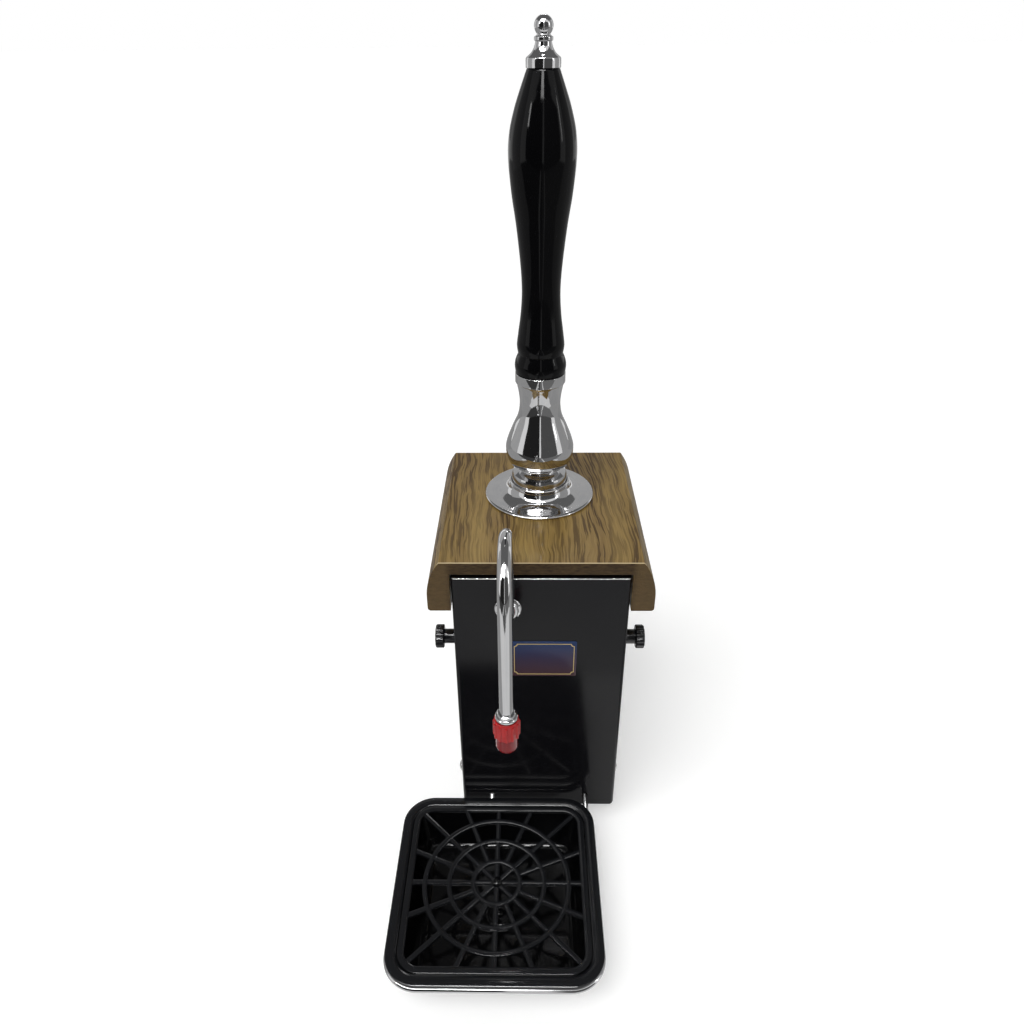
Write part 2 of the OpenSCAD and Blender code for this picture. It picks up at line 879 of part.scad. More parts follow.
module piston() {
  color("#e0e0dc")
  translate([0, pump_y, piston_z])
    difference() {
      cylinder(r = bore_d / 2 - 0.4, h = piston_h, center = true);
      for (s = [-1, 1])
        translate([0, 0, s * piston_h / 4])
          difference() {
            cylinder(r = bore_d / 2 + 1, h = 3, center = true);
            cylinder(r = bore_d / 2 - 3, h = 4, center = true);
          }
      cylinder(r = 3, h = piston_h + 2, center = true);
      translate([0, 0, piston_h / 2 - 3])
        cylinder(r = rod_r, h = 4);
      translate([0, 0, -piston_h / 2 - 1])
        cylinder(r = 8.5, h = 7);
    }
}

module piston_seals() {
  color("#1c1c1c")
  for (s = [-1, 1])
    translate([0, pump_y, piston_z + s * piston_h / 4])
      difference() {
        cylinder(r = bore_d / 2 - 0.06, h = 3, center = true);
        cylinder(r = bore_d / 2 - 3, h = 4, center = true);
      }
}

module rod_nut() {
  color("#b9bcbe")
  translate([0, pump_y, piston_z - piston_h / 2 + 1])
    difference() {
      cylinder(r = 6.9, h = 5, $fn = 6);
      translate([0, 0, -1])
        cylinder(r = 3, h = 7);
    }
}

module inlet_ball() {
  color("#c4c7c9")
  translate([0, pump_y, block_top - 19.5 + sqrt(7.5 * 7.5 - 25) + 0.25])
    sphere(r = 7.5);
}

module outlet_ball() {
  color("#c4c7c9")
  translate([spout_x, out_y, block_top - 15.5 + sqrt(4.5 * 4.5 - 3.2 * 3.2) + 0.25])
    sphere(r = 4.5);
}

// ---------- Clamp screws ----------

module clamp_pad(s) {
  color("#2a2b2d")
  translate([s * clamp_pitch_x / 2, clamp_y, pad_top])
    difference() {
      rotate_extrude()
        polygon([[0, 0], [15, 0], [16, -1], [16, -5], [15, -6], [9, -6], [9, -12], [0, -12]]);
      translate([0, 0, -13])
        cylinder(r = clamp_r + 0.06, h = 9.5);
    }
}

module clamp_pad_left() {
  clamp_pad(-1);
}

module clamp_pad_right() {
  clamp_pad(1);
}

module clamp_screw(s) {
  color("#55585b")
  translate([s * clamp_pitch_x / 2, clamp_y, 0]) {
    rod_z(0, 0, clamp_r, knob_top - 2, pad_top - 3.8);
    translate([0, 0, knob_top - 18])
      linear_extrude(15) {
        circle(r = knob_r);
        for (a = [0:60:300])
          rotate(a)
            translate([knob_r - 1.5, 0])
              circle(r = 4.5);
      }
    rod_z(0, 0, knob_r - 5, knob_top - 3, knob_top);
  }
}

module clamp_screw_left() {
  clamp_screw(-1);
}

module clamp_screw_right() {
  clamp_screw(1);
}

// ---------- Thumbscrews ----------

module thumb_washer(s) {
  x = casing_w / 2 + 0.02;
  color("#8d9093")
  mirror([s < 0 ? 1 : 0, 0, 0])
    difference() {
      rod_x(side_y, thumb_z, 6.8, x, x + 1.2);
      rod_x(side_y, thumb_z, 3.08, x - 1, x + 3);
    }
}

module thumb_washer_left() {
  thumb_washer(-1);
}

module thumb_washer_right() {
  thumb_washer(1);
}

module thumb_screw(s) {
  x = casing_w / 2 + 1.3;
  color("#141416")
  mirror([s < 0 ? 1 : 0, 0, 0]) {
    rod_x(side_y, thumb_z, 3, x - 13, x);
    rod_x(side_y, thumb_z, 5.8, x, x + 8.7);
    across(x + 8.7, x + 15.4)
      translate([side_y, thumb_z])
        difference() {
          circle(r = 9.3);
          for (a = [0:30:330])
            rotate(a)
              translate([10.1, 0])
                circle(r = 1.7, $fn = 24);
        }
  }
}

module thumb_screw_left() {
  thumb_screw(-1);
}

module thumb_screw_right() {
  thumb_screw(1);
}

// ---------- Drip tray ----------

// Quarter bend of the holder's wire at one corner of the ring
module wire_corner() {
  translate([ring_half - ring_r, ring_half - ring_r, 0])
    rotate_extrude(angle = 90)
      translate([ring_r, 0])
        circle(r = wire_r, $fn = 32);
}

// Wire from the ring up to a prong, just before it enters the casing
module sloped_rod(x, y, z) {
  dy = front - 0.6 - y;
  dz = prong_z - z;
  translate([x, y, z])
    rotate([-atan2(dy, dz), 0, 0])
      cylinder(r = prong_r - 0.1, h = norm([dy, dz]));
}

module tray_holder() {
  side = ring_half - ring_r;
  tip = front + sheet + prong_in - 2;
  color("#c9cccf")
  union() {
    translate([tray_x, tray_y, wire_z])
      for (a = [0, 90, 180, 270])
        rotate(a) {
          wire_corner();
          rod_y(ring_half, 0, wire_r, -side, side);
        }
    for (s = [-1, 1])
      rod_y(s * prong_x, prong_z, prong_r, front - 1.2, tip);
    sloped_rod(-prong_x, tray_y + ring_half, wire_z - 1.1);
    sloped_rod(prong_x, tray_y + side + sqrt(ring_r * ring_r - pow(prong_x - tray_x - side, 2)),
      wire_z - 0.4);
  }
}

module drip_tray() {
  low_w = basin_w - 16;
  wall = 2.4;
  color("#17181a")
  translate([tray_x, tray_y, 0])
    difference() {
      union() {
        translate([0, 0, tray_z - rim_t])
          linear_extrude(rim_t)
            round_rect(tray_w, tray_w, tray_r);
        hull() {
          translate([0, 0, tray_z - rim_t])
            linear_extrude(1)
              round_rect(basin_w + 2 * wall, basin_w + 2 * wall, tray_r - 8, $fn = 32);
          translate([0, 0, tray_z - tray_depth])
            linear_extrude(1)
              round_rect(low_w, low_w, tray_r - 12, $fn = 32);
        }
      }
      translate([0, 0, tray_z - 2.6])
        linear_extrude(4)
          round_rect(grid_w + 1.2, grid_w + 1.2, tray_r - rim_w);
      hull() {
        translate([0, 0, tray_z])
          linear_extrude(1)
            round_rect(basin_w, basin_w, tray_r - 10, $fn = 32);
        translate([0, 0, tray_z - tray_depth + wall])
          linear_extrude(1)
            round_rect(low_w - 4, low_w - 4, tray_r - 14, $fn = 32);
      }
    }
}

module tray_grid() {
  frame = 5;
  bar = 3.8;
  rings = [0.35, 0.715, 1.083] * (grid_w - 2 * frame) / 2.535;
  color("#17181a")
  translate([tray_x, tray_y, tray_z - 2.6]) {
    linear_extrude(2.6) {
      difference() {
        round_rect(grid_w, grid_w, tray_r - rim_w - 0.6);
        round_rect(grid_w - 2 * frame, grid_w - 2 * frame, tray_r - rim_w - 3);
      }
      for (r = rings)
        difference() {
          circle(r = r + bar / 2);
          circle(r = r - bar / 2);
        }
      intersection() {
        round_rect(grid_w - frame, grid_w - frame, tray_r - rim_w - 2);
        for (i = [0:spokes - 1])
          rotate(i * 360 / spokes)
            translate([i % 2 * rings[0], -bar / 2])
              square([grid_w, bar]);
      }
    }
    translate([0, 0, 1.4])
      intersection() {
        sphere(r = 4);
        cylinder(r = 5, h = 5);
      }
  }
}

// ---------- Assembly ----------

wood_cap();
cap_screws();
casing();
name_plate();
side_screws();
top_plate();
cheek_left();
cheek_right();
seat_plate();
seat_pad();
back_plate();
clamp_bracket();
pump_shelf();
prong_sleeves();
fulcrum_pin();
fulcrum_spacers();
upper_cap();
gland_bush();
cylinder_tube();
lower_cap();
tie_rods();
valve_block();
hose_tail();
delivery_pipe();
spout_elbow();
spout_flange();
swan_neck();
nozzle();
lever_arm();
lever_bush();
fork_pin();
ferrule();
handle_grip();
finial();
fork_roller();
crosshead();
piston_rod();
piston();
piston_seals();
rod_nut();
rose();
inlet_ball();
outlet_ball();
clamp_pad_left();
clamp_pad_right();
clamp_screw_left();
clamp_screw_right();
thumb_washer_left();
thumb_washer_right();
thumb_screw_left();
thumb_screw_right();
sparkler_seal();
sparkler();
tray_holder();
drip_tray();
tray_grid();
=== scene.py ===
import bpy, bmesh, math, json
from mathutils import Matrix, Vector


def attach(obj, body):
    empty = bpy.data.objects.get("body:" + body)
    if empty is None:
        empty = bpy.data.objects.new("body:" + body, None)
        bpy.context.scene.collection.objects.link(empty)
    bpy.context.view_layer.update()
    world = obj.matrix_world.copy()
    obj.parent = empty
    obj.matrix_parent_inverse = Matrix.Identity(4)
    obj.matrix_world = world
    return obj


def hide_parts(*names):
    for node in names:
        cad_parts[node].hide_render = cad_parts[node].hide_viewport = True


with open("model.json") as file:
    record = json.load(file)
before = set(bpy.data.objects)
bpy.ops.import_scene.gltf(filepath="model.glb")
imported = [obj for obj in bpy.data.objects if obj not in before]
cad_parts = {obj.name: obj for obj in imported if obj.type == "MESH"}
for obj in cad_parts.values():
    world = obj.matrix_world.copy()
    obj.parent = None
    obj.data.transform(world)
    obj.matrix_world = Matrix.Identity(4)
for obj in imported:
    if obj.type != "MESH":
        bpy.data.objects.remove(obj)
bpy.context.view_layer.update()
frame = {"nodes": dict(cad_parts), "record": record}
nodes = frame["nodes"]

mm = 0.001
X, Y, Z = 0, 1, 2  # the parts of a place


# ---------------------------------------------------------------- shader maths
class Socket:
    """An output of a node, which adds Math nodes when it is worked on."""

    def __init__(self, board, link):
        self.board, self.link = board, link  # the Finish or Layout it is in, and the output

    def maths(self, operation, *others):
        return self.board.node("ShaderNodeMath", {"operation": operation},
                               {i: v for i, v in enumerate((self,) + others)})

    def __add__(self, other): return self.maths("ADD", other)
    def __mul__(self, other): return self.maths("MULTIPLY", other)
    def __sub__(self, other): return self.maths("SUBTRACT", other)
    def __truediv__(self, other): return self.maths("DIVIDE", other)
    def __pow__(self, other): return self.maths("POWER", other)
    __radd__, __rmul__ = __add__, __mul__

    def __rsub__(self, other):
        return self.board.node("ShaderNodeMath", {"operation": "SUBTRACT"}, {0: other, 1: self})

    def above(self, low, high):
        """0 below low, 1 above high, smooth between."""
        return self.board.node("ShaderNodeMapRange",
                               {"interpolation_type": "SMOOTHSTEP", "clamp": True},
                               {0: self, 1: low, 2: high, 3: 0.0, 4: 1.0})

    def part(self, which):
        """One part of a vector: X, Y or Z."""
        return self.board.node("ShaderNodeSeparateXYZ", {}, {0: self}, which)

    def absolute(self): return self.maths("ABSOLUTE")
    def most(self, other): return self.maths("MAXIMUM", other)
    def least(self, other): return self.maths("MINIMUM", other)


class Finish:
    """One procedural material."""

    def __init__(self, name, base, roughness, metallic=0.0, coat=0.0, **fixed):
        self.material = bpy.data.materials.new(name)
        self.material.use_nodes = True
        self.tree = self.material.node_tree
        self.tree.nodes.clear()
        self.shader = self.tree.nodes.new("ShaderNodeBsdfPrincipled")
        out = self.tree.nodes.new("ShaderNodeOutputMaterial")
        self.tree.links.new(self.shader.outputs[0], out.inputs[0])
        self.shader.inputs["Base Color"].default_value = (*base, 1.0)
        self.shader.inputs["Roughness"].default_value = roughness
        self.shader.inputs["Metallic"].default_value = metallic
        self.shader.inputs["Coat Weight"].default_value = coat
        for key, value in fixed.items():
            self.shader.inputs[key.replace("_", " ")].default_value = value
        coords = self.tree.nodes.new("ShaderNodeTexCoord")
        self.place = Socket(self, coords.outputs["Object"])
        self.heights = []

    def node(self, kind, settings, values, output=0):
        """Any node, with its settings and then the values or links of its inputs."""
        made = self.tree.nodes.new(kind)
        for key, value in settings.items():
            if key == "stops":
                ramp = made.color_ramp
                while len(ramp.elements) > 1:
                    ramp.elements.remove(ramp.elements[-1])
                first, *rest = value
                ramp.elements[0].position, ramp.elements[0].color = first[0], (*first[1], 1)
                for at, colour in rest:
                    ramp.elements.new(at).color = (*colour, 1)
            else:
                setattr(made, key, value)
        for key, value in values.items():
            if isinstance(value, Socket):
                self.tree.links.new(value.link, made.inputs[key])
            else:
                made.inputs[key].default_value = value
        return Socket(self, made.outputs[output])

    def stretched(self, x, y, z, shift=(0, 0, 0)):
        """Object coordinates times a scale for each way, in 1/m."""
        return self.node("ShaderNodeMapping", {},
                         {"Vector": self.place, "Scale": (x, y, z), "Location": shift})

    def noise(self, scale, detail, place=None, roughness=0.55):
        return self.node("ShaderNodeTexNoise", {},
                         {"Vector": place or self.place, "Scale": scale, "Detail": detail,
                          "Roughness": roughness}, "Fac")

    def mixed(self, amount, one, other):
        """A colour between two, by a socket or number."""
        one, other = (c if isinstance(c, Socket) else (*c, 1.0) for c in (one, other))
        # a Mix node's colours are its inputs 6 and 7 and its output 2
        return self.node("ShaderNodeMix", {"data_type": "RGBA"}, {0: amount, 6: one, 7: other}, 2)

    def ramp(self, amount, stops):
        return self.node("ShaderNodeValToRGB", {"stops": stops}, {0: amount})

    def feed(self, name, socket):
        self.tree.links.new(socket.link, self.shader.inputs[name])

    def colour(self, socket): self.feed("Base Color", socket)
    def rough(self, socket): self.feed("Roughness", socket)

    def bump(self, height, distance, strength=1.0):
        """Adds a bump layer. distance is in metres."""
        values = {"Height": height, "Distance": distance, "Strength": strength}
        if self.heights:
            values["Normal"] = self.heights[-1]
        self.heights.append(self.node("ShaderNodeBump", {}, values))
        self.feed("Normal", self.heights[-1])


def shaded(colour, share):
    """A colour made darker or lighter, no channel over 1."""
    return tuple(min(1, c * share) for c in colour)


def varnished_oak():
    """Plain sawn oak: brown bands and dark open pores along Y, end grain at the front and back.
    Painted shade darkens the end grain between the legs, and a painted highlight runs along the
    front's top edge.
    """
    m = Finish("varnished_oak", (0.2, 0.125, 0.045), 0.32, coat=0.03,
               Coat_Roughness=0.1, Specular_IOR_Level=0.18)
    sideways, along, up = (m.place.part(way) for way in (X, Y, Z))
    bend = m.noise(4.2, 2, m.stretched(1.0, 0.7, 1.0, shift=(2.3, 0.4, 0.7))) - 0.5
    wander = m.noise(26.0, 2, m.stretched(1.0, 0.8, 1.0)) - 0.5
    across = sideways + bend * 0.085 + wander * 0.008

    def lanes(fine, length):
        """Places drawn out along the grain, which wanders sideways."""
        return m.node("ShaderNodeCombineXYZ", {},
                      {X: across * fine, Y: along * length, Z: up * fine})

    pores = m.noise(1.0, 2, lanes(760.0, 24.0), 0.5)
    bands = m.noise(1.0, 3, lanes(44.0, 2.2), 0.5)
    hairs = m.noise(1.0, 2, lanes(1300.0, 30.0), 0.6)
    wood = m.ramp(bands * 0.65 + hairs * 0.35,
                  [(0.3, (0.105, 0.06, 0.015)), (0.45, (0.18, 0.11, 0.028)),
                   (0.57, (0.25, 0.163, 0.044)), (0.7, (0.32, 0.22, 0.064))])
    crowded = bands.above(0.62, 0.4)
    pores = pores.above(0.48, 0.55) * (0.35 + crowded * 0.65)
    wood = m.mixed(pores * 0.88, wood, (0.036, 0.017, 0.005))

    facing = m.node("ShaderNodeNewGeometry", {}, {}, "Normal").part(Y)
    end_grain = facing.absolute().above(0.7, 0.95)
    # the end grain's dark colour is partly real end grain and partly painted shade; it is made
    # lighter on the legs, out of the painted shade in the middle
    rings = m.noise(1.0, 3, m.stretched(240, 240, 700), 0.6)
    ends = m.ramp(rings, [(0.3, (0.026, 0.014, 0.005)), (0.7, (0.07, 0.042, 0.016))])
    leg_start, leg_full = 0.064, 0.07
    lit_legs = sideways.absolute().above(leg_start, leg_full)
    wood = m.mixed(end_grain, wood, m.mixed(lit_legs * 0.5, ends, (0.13, 0.085, 0.036)))

    # a painted highlight: a pale line along the front's top edge
    towards_front, arris_highlight_y, arris_highlight_z = 0.0 - along, (0.1391, 0.1398), (0.0408, 0.0418)
    edge = towards_front.above(*arris_highlight_y) * up.above(*arris_highlight_z) * (1.0 - end_grain)
    m.colour(m.mixed(edge * 0.75, wood, (0.62, 0.5, 0.3)))
    m.rough(0.26 + hairs * 0.12 + pores * 0.15)
    m.bump(pores, 0.00014, 0.45)
    m.bump(hairs, 0.00008, 0.3)
    return m.material


def polished_chrome():
    tint = (0.58, 0.58, 0.585)
    m = Finish("polished_chrome", tint, 0.06, metallic=1.0)
    smear = m.noise(28, 3)
    swirl = m.noise(1.0, 2, m.stretched(500, 500, 90))
    m.colour(m.mixed(smear.above(0.4, 0.8), tint, shaded(tint, 0.93)))
    m.rough(0.045 + smear.above(0.45, 0.75) * 0.06 + swirl * 0.02)
    m.bump(smear, 0.0002, 0.04)
    return m.material


def black_gloss(name, base, roughness, level=0.5):
    """A glossy black with haze and a fine grain. Returns the Finish, for more layers."""
    m = Finish(name, base, roughness, Specular_IOR_Level=level)
    haze = m.noise(18, 4)
    fine = m.noise(420, 2)
    m.colour(m.mixed(haze * 0.6, base, tuple(c * 1.8 + 0.001 for c in base)))
    m.rough(roughness + haze.above(0.4, 0.8) * 0.06 + fine * 0.03)
    m.bump(fine, 0.00002, 0.1)
    m.bump(haze, 0.0006, 0.04)
    return m


def painted_sheet():
    """Black paint with a light orange peel, scuffs, and a painted highlight: a bright metallic line
    along the fold at its top.
    """
    paint, fold_highlight_y, fold_highlight_z = (0.0045, 0.0045, 0.0055), (0.1402, 0.1406), (0.02925, 0.0296)
    m = black_gloss("painted_sheet", paint, 0.1, 0.22)
    speck = m.noise(900, 1)
    peel = m.noise(210, 2)
    m.bump(peel, 0.00004, 0.12)
    # painted highlight: the fold at the front's top is made bright and metallic to stand for a
    # highlight line
    fold = m.place.part(Z).above(*fold_highlight_z) * (0.0 - m.place.part(Y)).above(*fold_highlight_y)
    fold = fold * (0.55 + m.noise(70, 2) * 0.9).least(1.0)
    m.feed("Metallic", fold)
    scuff = m.noise(7, 4).above(0.58, 0.72) * speck.above(0.5, 0.62)
    dark = m.mixed(scuff * 0.4, paint, (0.03, 0.03, 0.032))
    m.colour(m.mixed(fold, dark, (0.9, 0.9, 0.88)))
    return m.material


def moulded_plastic(name, low, high, roughness, level):
    """Moulded plastic between two shades, with fine grain and streaks along X."""
    m = Finish(name, low, roughness, Specular_IOR_Level=level)
    grain = m.noise(1400, 2)
    cloud = m.noise(22, 3)
    streaks = m.noise(1.0, 3, m.stretched(26, 900, 900))
    m.colour(m.mixed(cloud * 0.6 + streaks * 0.4, low, high))
    m.rough(roughness + grain * 0.05 + streaks * 0.08)
    m.bump(grain, 0.00002, 0.2)
    m.bump(streaks, 0.00002, 0.3)
    return m.material


def nozzle_plastic():
    """Red plastic, deeper below the ribbed collar."""
    m = Finish("nozzle_red", (0.3, 0.01, 0.01), 0.14, Specular_IOR_Level=0.3)
    cloud = m.noise(140, 3)
    fine = m.noise(900, 2)
    collar_foot = (0.0455, 0.0475)  # metres below Z = 0
    low = (0.0 - m.place.part(Z)).above(*collar_foot)
    collar = m.mixed(cloud, (0.3, 0.008, 0.009), (0.46, 0.024, 0.024))
    glassy = m.mixed(cloud, (0.13, 0.003, 0.005), (0.24, 0.012, 0.014))
    m.colour(m.mixed(low, collar, glassy))
    m.rough(0.08 + cloud * 0.08 + fine * 0.03)
    m.bump(fine, 0.00003, 0.3)
    m.bump(cloud, 0.0002, 0.15)
    return m.material


def plate_painted_reflection():
    """Blue at the top and violet brown at the bottom: a painted reflection over a dark blue-violet
    plate.
    """
    m = Finish("bare_plate", (0.03, 0.03, 0.06), 0.2, Specular_IOR_Level=0.25)
    foot, tall = -0.062, 0.034
    # painted reflection: the colour runs from violet brown at the foot to blue at the top
    height = (m.place.part(Z) - foot) / tall
    cloud = m.noise(60, 3)
    m.colour(m.ramp(height + (cloud - 0.5) * 0.12,
                    [(0.05, (0.06, 0.03, 0.036)), (0.5, (0.042, 0.032, 0.062)),
                     (0.95, (0.016, 0.034, 0.1))]))
    m.rough(0.18 + cloud * 0.1)
    m.bump(m.noise(700, 2), 0.00002, 0.2)
    return m.material


def sheet_steel(name, base, roughness, brushed=(40, 900, 900)):
    """Metal with lines drawn the way in which brushed is lowest."""
    m = Finish(name, base, roughness, metallic=1.0)
    lines = m.noise(1.0, 3, m.stretched(*brushed))
    cloud = m.noise(15, 3)
    m.colour(m.mixed(cloud, shaded(base, 0.82), shaded(base, 1.12)))
    m.rough(roughness + lines * 0.14 + cloud * 0.08)
    m.bump(lines, 0.00004, 0.3)
    return m.material


def plain_finish(name, base, roughness, metallic=0.0):
    """A cast, moulded or painted surface with a fine grain."""
    m = Finish(name, base, roughness, metallic=metallic)
    grain = m.noise(900, 2)
    cloud = m.noise(20, 3)
    m.colour(m.mixed(cloud, shaded(base, 0.8), shaded(base, 1.25)))
    m.rough(roughness + grain * 0.1 + cloud * 0.08)
    m.bump(grain, 0.00005, 0.3)
    return m.material


oak = varnished_oak()
chrome = polished_chrome()
grip_black = black_gloss("grip_black", (0.0013, 0.0013, 0.0016), 0.06, 0.15).material
casing_black = painted_sheet()
thumb_black = black_gloss("thumb_black", (0.005, 0.005, 0.006), 0.14).material
charcoal = moulded_plastic("moulded_charcoal", (0.004, 0.0043, 0.005),
                           (0.0095, 0.01, 0.0118), 0.07, 0.4)
# painted shade: a darker copy of the tray's plastic for the basin's recess under the grid, also
# used on the drain boss and the grid's button
shaded_basin_black = moulded_plastic("shaded_basin_black", (0.0012, 0.0012, 0.0014),
                              (0.0028, 0.0028, 0.0034), 0.05, 0.26)
bright = sheet_steel("bright_steel", (0.6, 0.6, 0.6), 0.16, (900, 900, 60))
nozzle_red = nozzle_plastic()
plate_blue = plate_painted_reflection()
border_gold = plain_finish("border_gold", (0.62, 0.47, 0.2), 0.32, 0.4)

by_slot = {
    "oak": oak,
    "chrome": chrome,
    "handle_black": grip_black,
    "casing_black": casing_black,
    "thumb_black": thumb_black,
    "tray_black": charcoal,
    "sparkler_red": nozzle_red,
    "plate_bare": plate_blue,
    "steel_bright": bright,
    "cylinder_metal": bright,
    "steel_plate": sheet_steel("plated_steel", (0.42, 0.42, 0.42), 0.24),
    "bronze": sheet_steel("bronze", (0.44, 0.25, 0.1), 0.24, (900, 900, 90)),
    "cast_alloy": plain_finish("cast_alloy", (0.33, 0.33, 0.34), 0.42, 1.0),
    "clamp_black": plain_finish("clamp_black", (0.012, 0.012, 0.013), 0.4),
    "pump_plastic": plain_finish("pump_plastic", (0.55, 0.55, 0.52), 0.35),
    "rubber_black": plain_finish("rubber_black", (0.014, 0.014, 0.014), 0.62),
}
for part in frame["record"]["subparts"]:
    for hole in nodes[part["node"]].material_slots:
        hole.material = by_slot[part["material_slot"]]


# ---------------------------------------------------------------- shaping tools
SHARP = 34  # degrees past which an edge shows as a crease
NEARLY_STRAIGHT = 2.9  # radians between two stretches of a line that needs no rounding
POLE = 0.01  # mm, radius of the small face that closes a turned piece's end


def linked(name, data):
    made = bpy.data.objects.new(name, data)
    bpy.context.collection.objects.link(made)
    return made


def through(stations, steps):
    """A smooth line through stations (radius, height), with steps between each two."""
    line = []
    for i in range(len(stations) - 1):
        a, b = stations[max(i - 1, 0)], stations[i]
        c, d = stations[i + 1], stations[min(i + 2, len(stations) - 1)]
        for k in range(steps):
            t = k / steps
            line.append(tuple(0.5 * (2 * q + (r - p) * t + (2 * p - 5 * q + 4 * r - s) * t * t
                                     + (3 * q - p - 3 * r + s) * t ** 3)
                              for p, q, r, s in zip(a, b, c, d)))
    return line + [stations[-1]]


def eased(points, radius, steps=4, closed=False):
    """The same line with its corners rounded. Radius in the points' unit."""
    line = []
    count = len(points)
    for i, here in enumerate(points):
        if not closed and i in (0, count - 1):
            line.append(tuple(here))
            continue
        here, before = Vector(here), Vector(points[i - 1])
        after = Vector(points[(i + 1) % count])
        back, on = before - here, after - here
        bend = back.angle(on, math.pi)
        if bend > NEARLY_STRAIGHT:
            line.append(tuple(here))
            continue
        cut = min(radius / math.tan(bend / 2), back.length * 0.45, on.length * 0.45)
        start, stop = here + back.normalized() * cut, here + on.normalized() * cut
        for k in range(steps + 1):
            t = k / steps
            line.append(tuple(start * (1 - t) ** 2 + here * 2 * t * (1 - t) + stop * t * t))
    return line


def outward(bm, mesh):
    """Puts bm into mesh with its doubles merged and its faces outwards."""
    bmesh.ops.remove_doubles(bm, verts=bm.verts, dist=1e-7)
    bmesh.ops.recalc_face_normals(bm, faces=bm.faces)
    bm.to_mesh(mesh)
    bm.free()
    return mesh


def smoothed(piece, material, sharp=SHARP):
    """Gives a piece its material, and smooth shading up to an angle."""
    piece.data.materials.clear()
    piece.data.materials.append(material)
    piece.data.polygons.foreach_set("use_smooth", [True] * len(piece.data.polygons))
    piece.data.set_sharp_from_angle(angle=math.radians(sharp))
    return piece


def settled(bm, name, material, sharp=SHARP):
    """A finished piece from bm."""
    return smoothed(linked(name, outward(bm, bpy.data.meshes.new(name))), material, sharp)


def rings_mesh(rings, close_round=False):
    """A skin over rings of equal counts of points, closed round or with a face at each end."""
    bm = bmesh.new()
    rows = [[bm.verts.new(p) for p in ring] for ring in rings]
    count = len(rows[0])
    for one, two in zip(rows, rows[1:] + rows[:1] if close_round else rows[1:]):
        for k in range(count):
            bm.faces.new((one[k], one[(k + 1) % count], two[(k + 1) % count], two[k]))
    if not close_round:
        bm.faces.new(rows[0])
        bm.faces.new(rows[-1])
    return bm


WAYS = {"up": Matrix.Identity(3),
        "front": Matrix(((1, 0, 0), (0, 0, -1), (0, 1, 0))),
        "right": Matrix(((0, 0, 1), (1, 0, 0), (0, 1, 0))),
        "left": Matrix(((0, 0, -1), (-1, 0, 0), (0, 1, 0)))}


def turned(name, profile, at, material, way="up", steps=128, sharp=SHARP, radius_at=None,
           closed=False):
    """A turned piece from a profile (radius, height) in mm, standing at a place in mm.
    radius_at(radius, angle) shapes it round the axis. A closed profile makes a ring."""
    turn, base = WAYS[way], Vector(at)
    rings = []
    for r, h in profile:
        ring = []
        for k in range(steps):
            a = 2 * math.pi * k / steps
            rr = radius_at(r, a) if radius_at else r
            ring.append((base + turn @ Vector((rr * math.cos(a), rr * math.sin(a), h))) * mm)
        rings.append(ring)
    return settled(rings_mesh(rings, close_round=closed), name, material, sharp)


def softened(name, node, material, width, weight=None):
    """A copy of a CAD node with its triangles joined into faces and its edges rounded.
    width is in mm. weight(edge) gives an edge its share of it."""
    corner = math.radians(32)
    piece = linked(name, nodes[node].data.copy())
    bm = bmesh.new()
    bm.from_mesh(piece.data)
    bmesh.ops.remove_doubles(bm, verts=bm.verts, dist=2e-6)
    bmesh.ops.dissolve_limit(bm, angle_limit=math.radians(0.4), verts=bm.verts, edges=bm.edges,
                             delimit=set())
    if weight:
        layer = bm.edges.layers.float.new("bevel_weight_edge")
        for edge in bm.edges:
            if len(edge.link_faces) == 2 and edge.calc_face_angle(0) > corner:
                edge[layer] = weight(edge)
    bm.to_mesh(piece.data)
    bm.free()
    piece.data.attributes.active_color_name = ""
    bevel = piece.modifiers.new("edges", "BEVEL")
    bevel.width, bevel.segments = width * mm, 3
    bevel.limit_method = "WEIGHT" if weight else "ANGLE"
    bevel.angle_limit = corner
    bevel.use_clamp_overlap = True
    piece.modifiers.new("even", "WEIGHTED_NORMAL").keep_sharp = True
    smoothed(piece, material, 60)
    seen = bpy.context.evaluated_depsgraph_get()
    finished = bpy.data.meshes.new_from_object(piece.evaluated_get(seen))
    piece.modifiers.clear()
    piece.data = finished
    piece.data.name = name
    return piece


def fitted(piece, body, *stood_for, slot):
    """Ties a piece to its body and hides the CAD nodes it stands for. slot is not used."""
    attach(piece, body)
    if stood_for:
        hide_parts(*stood_for)


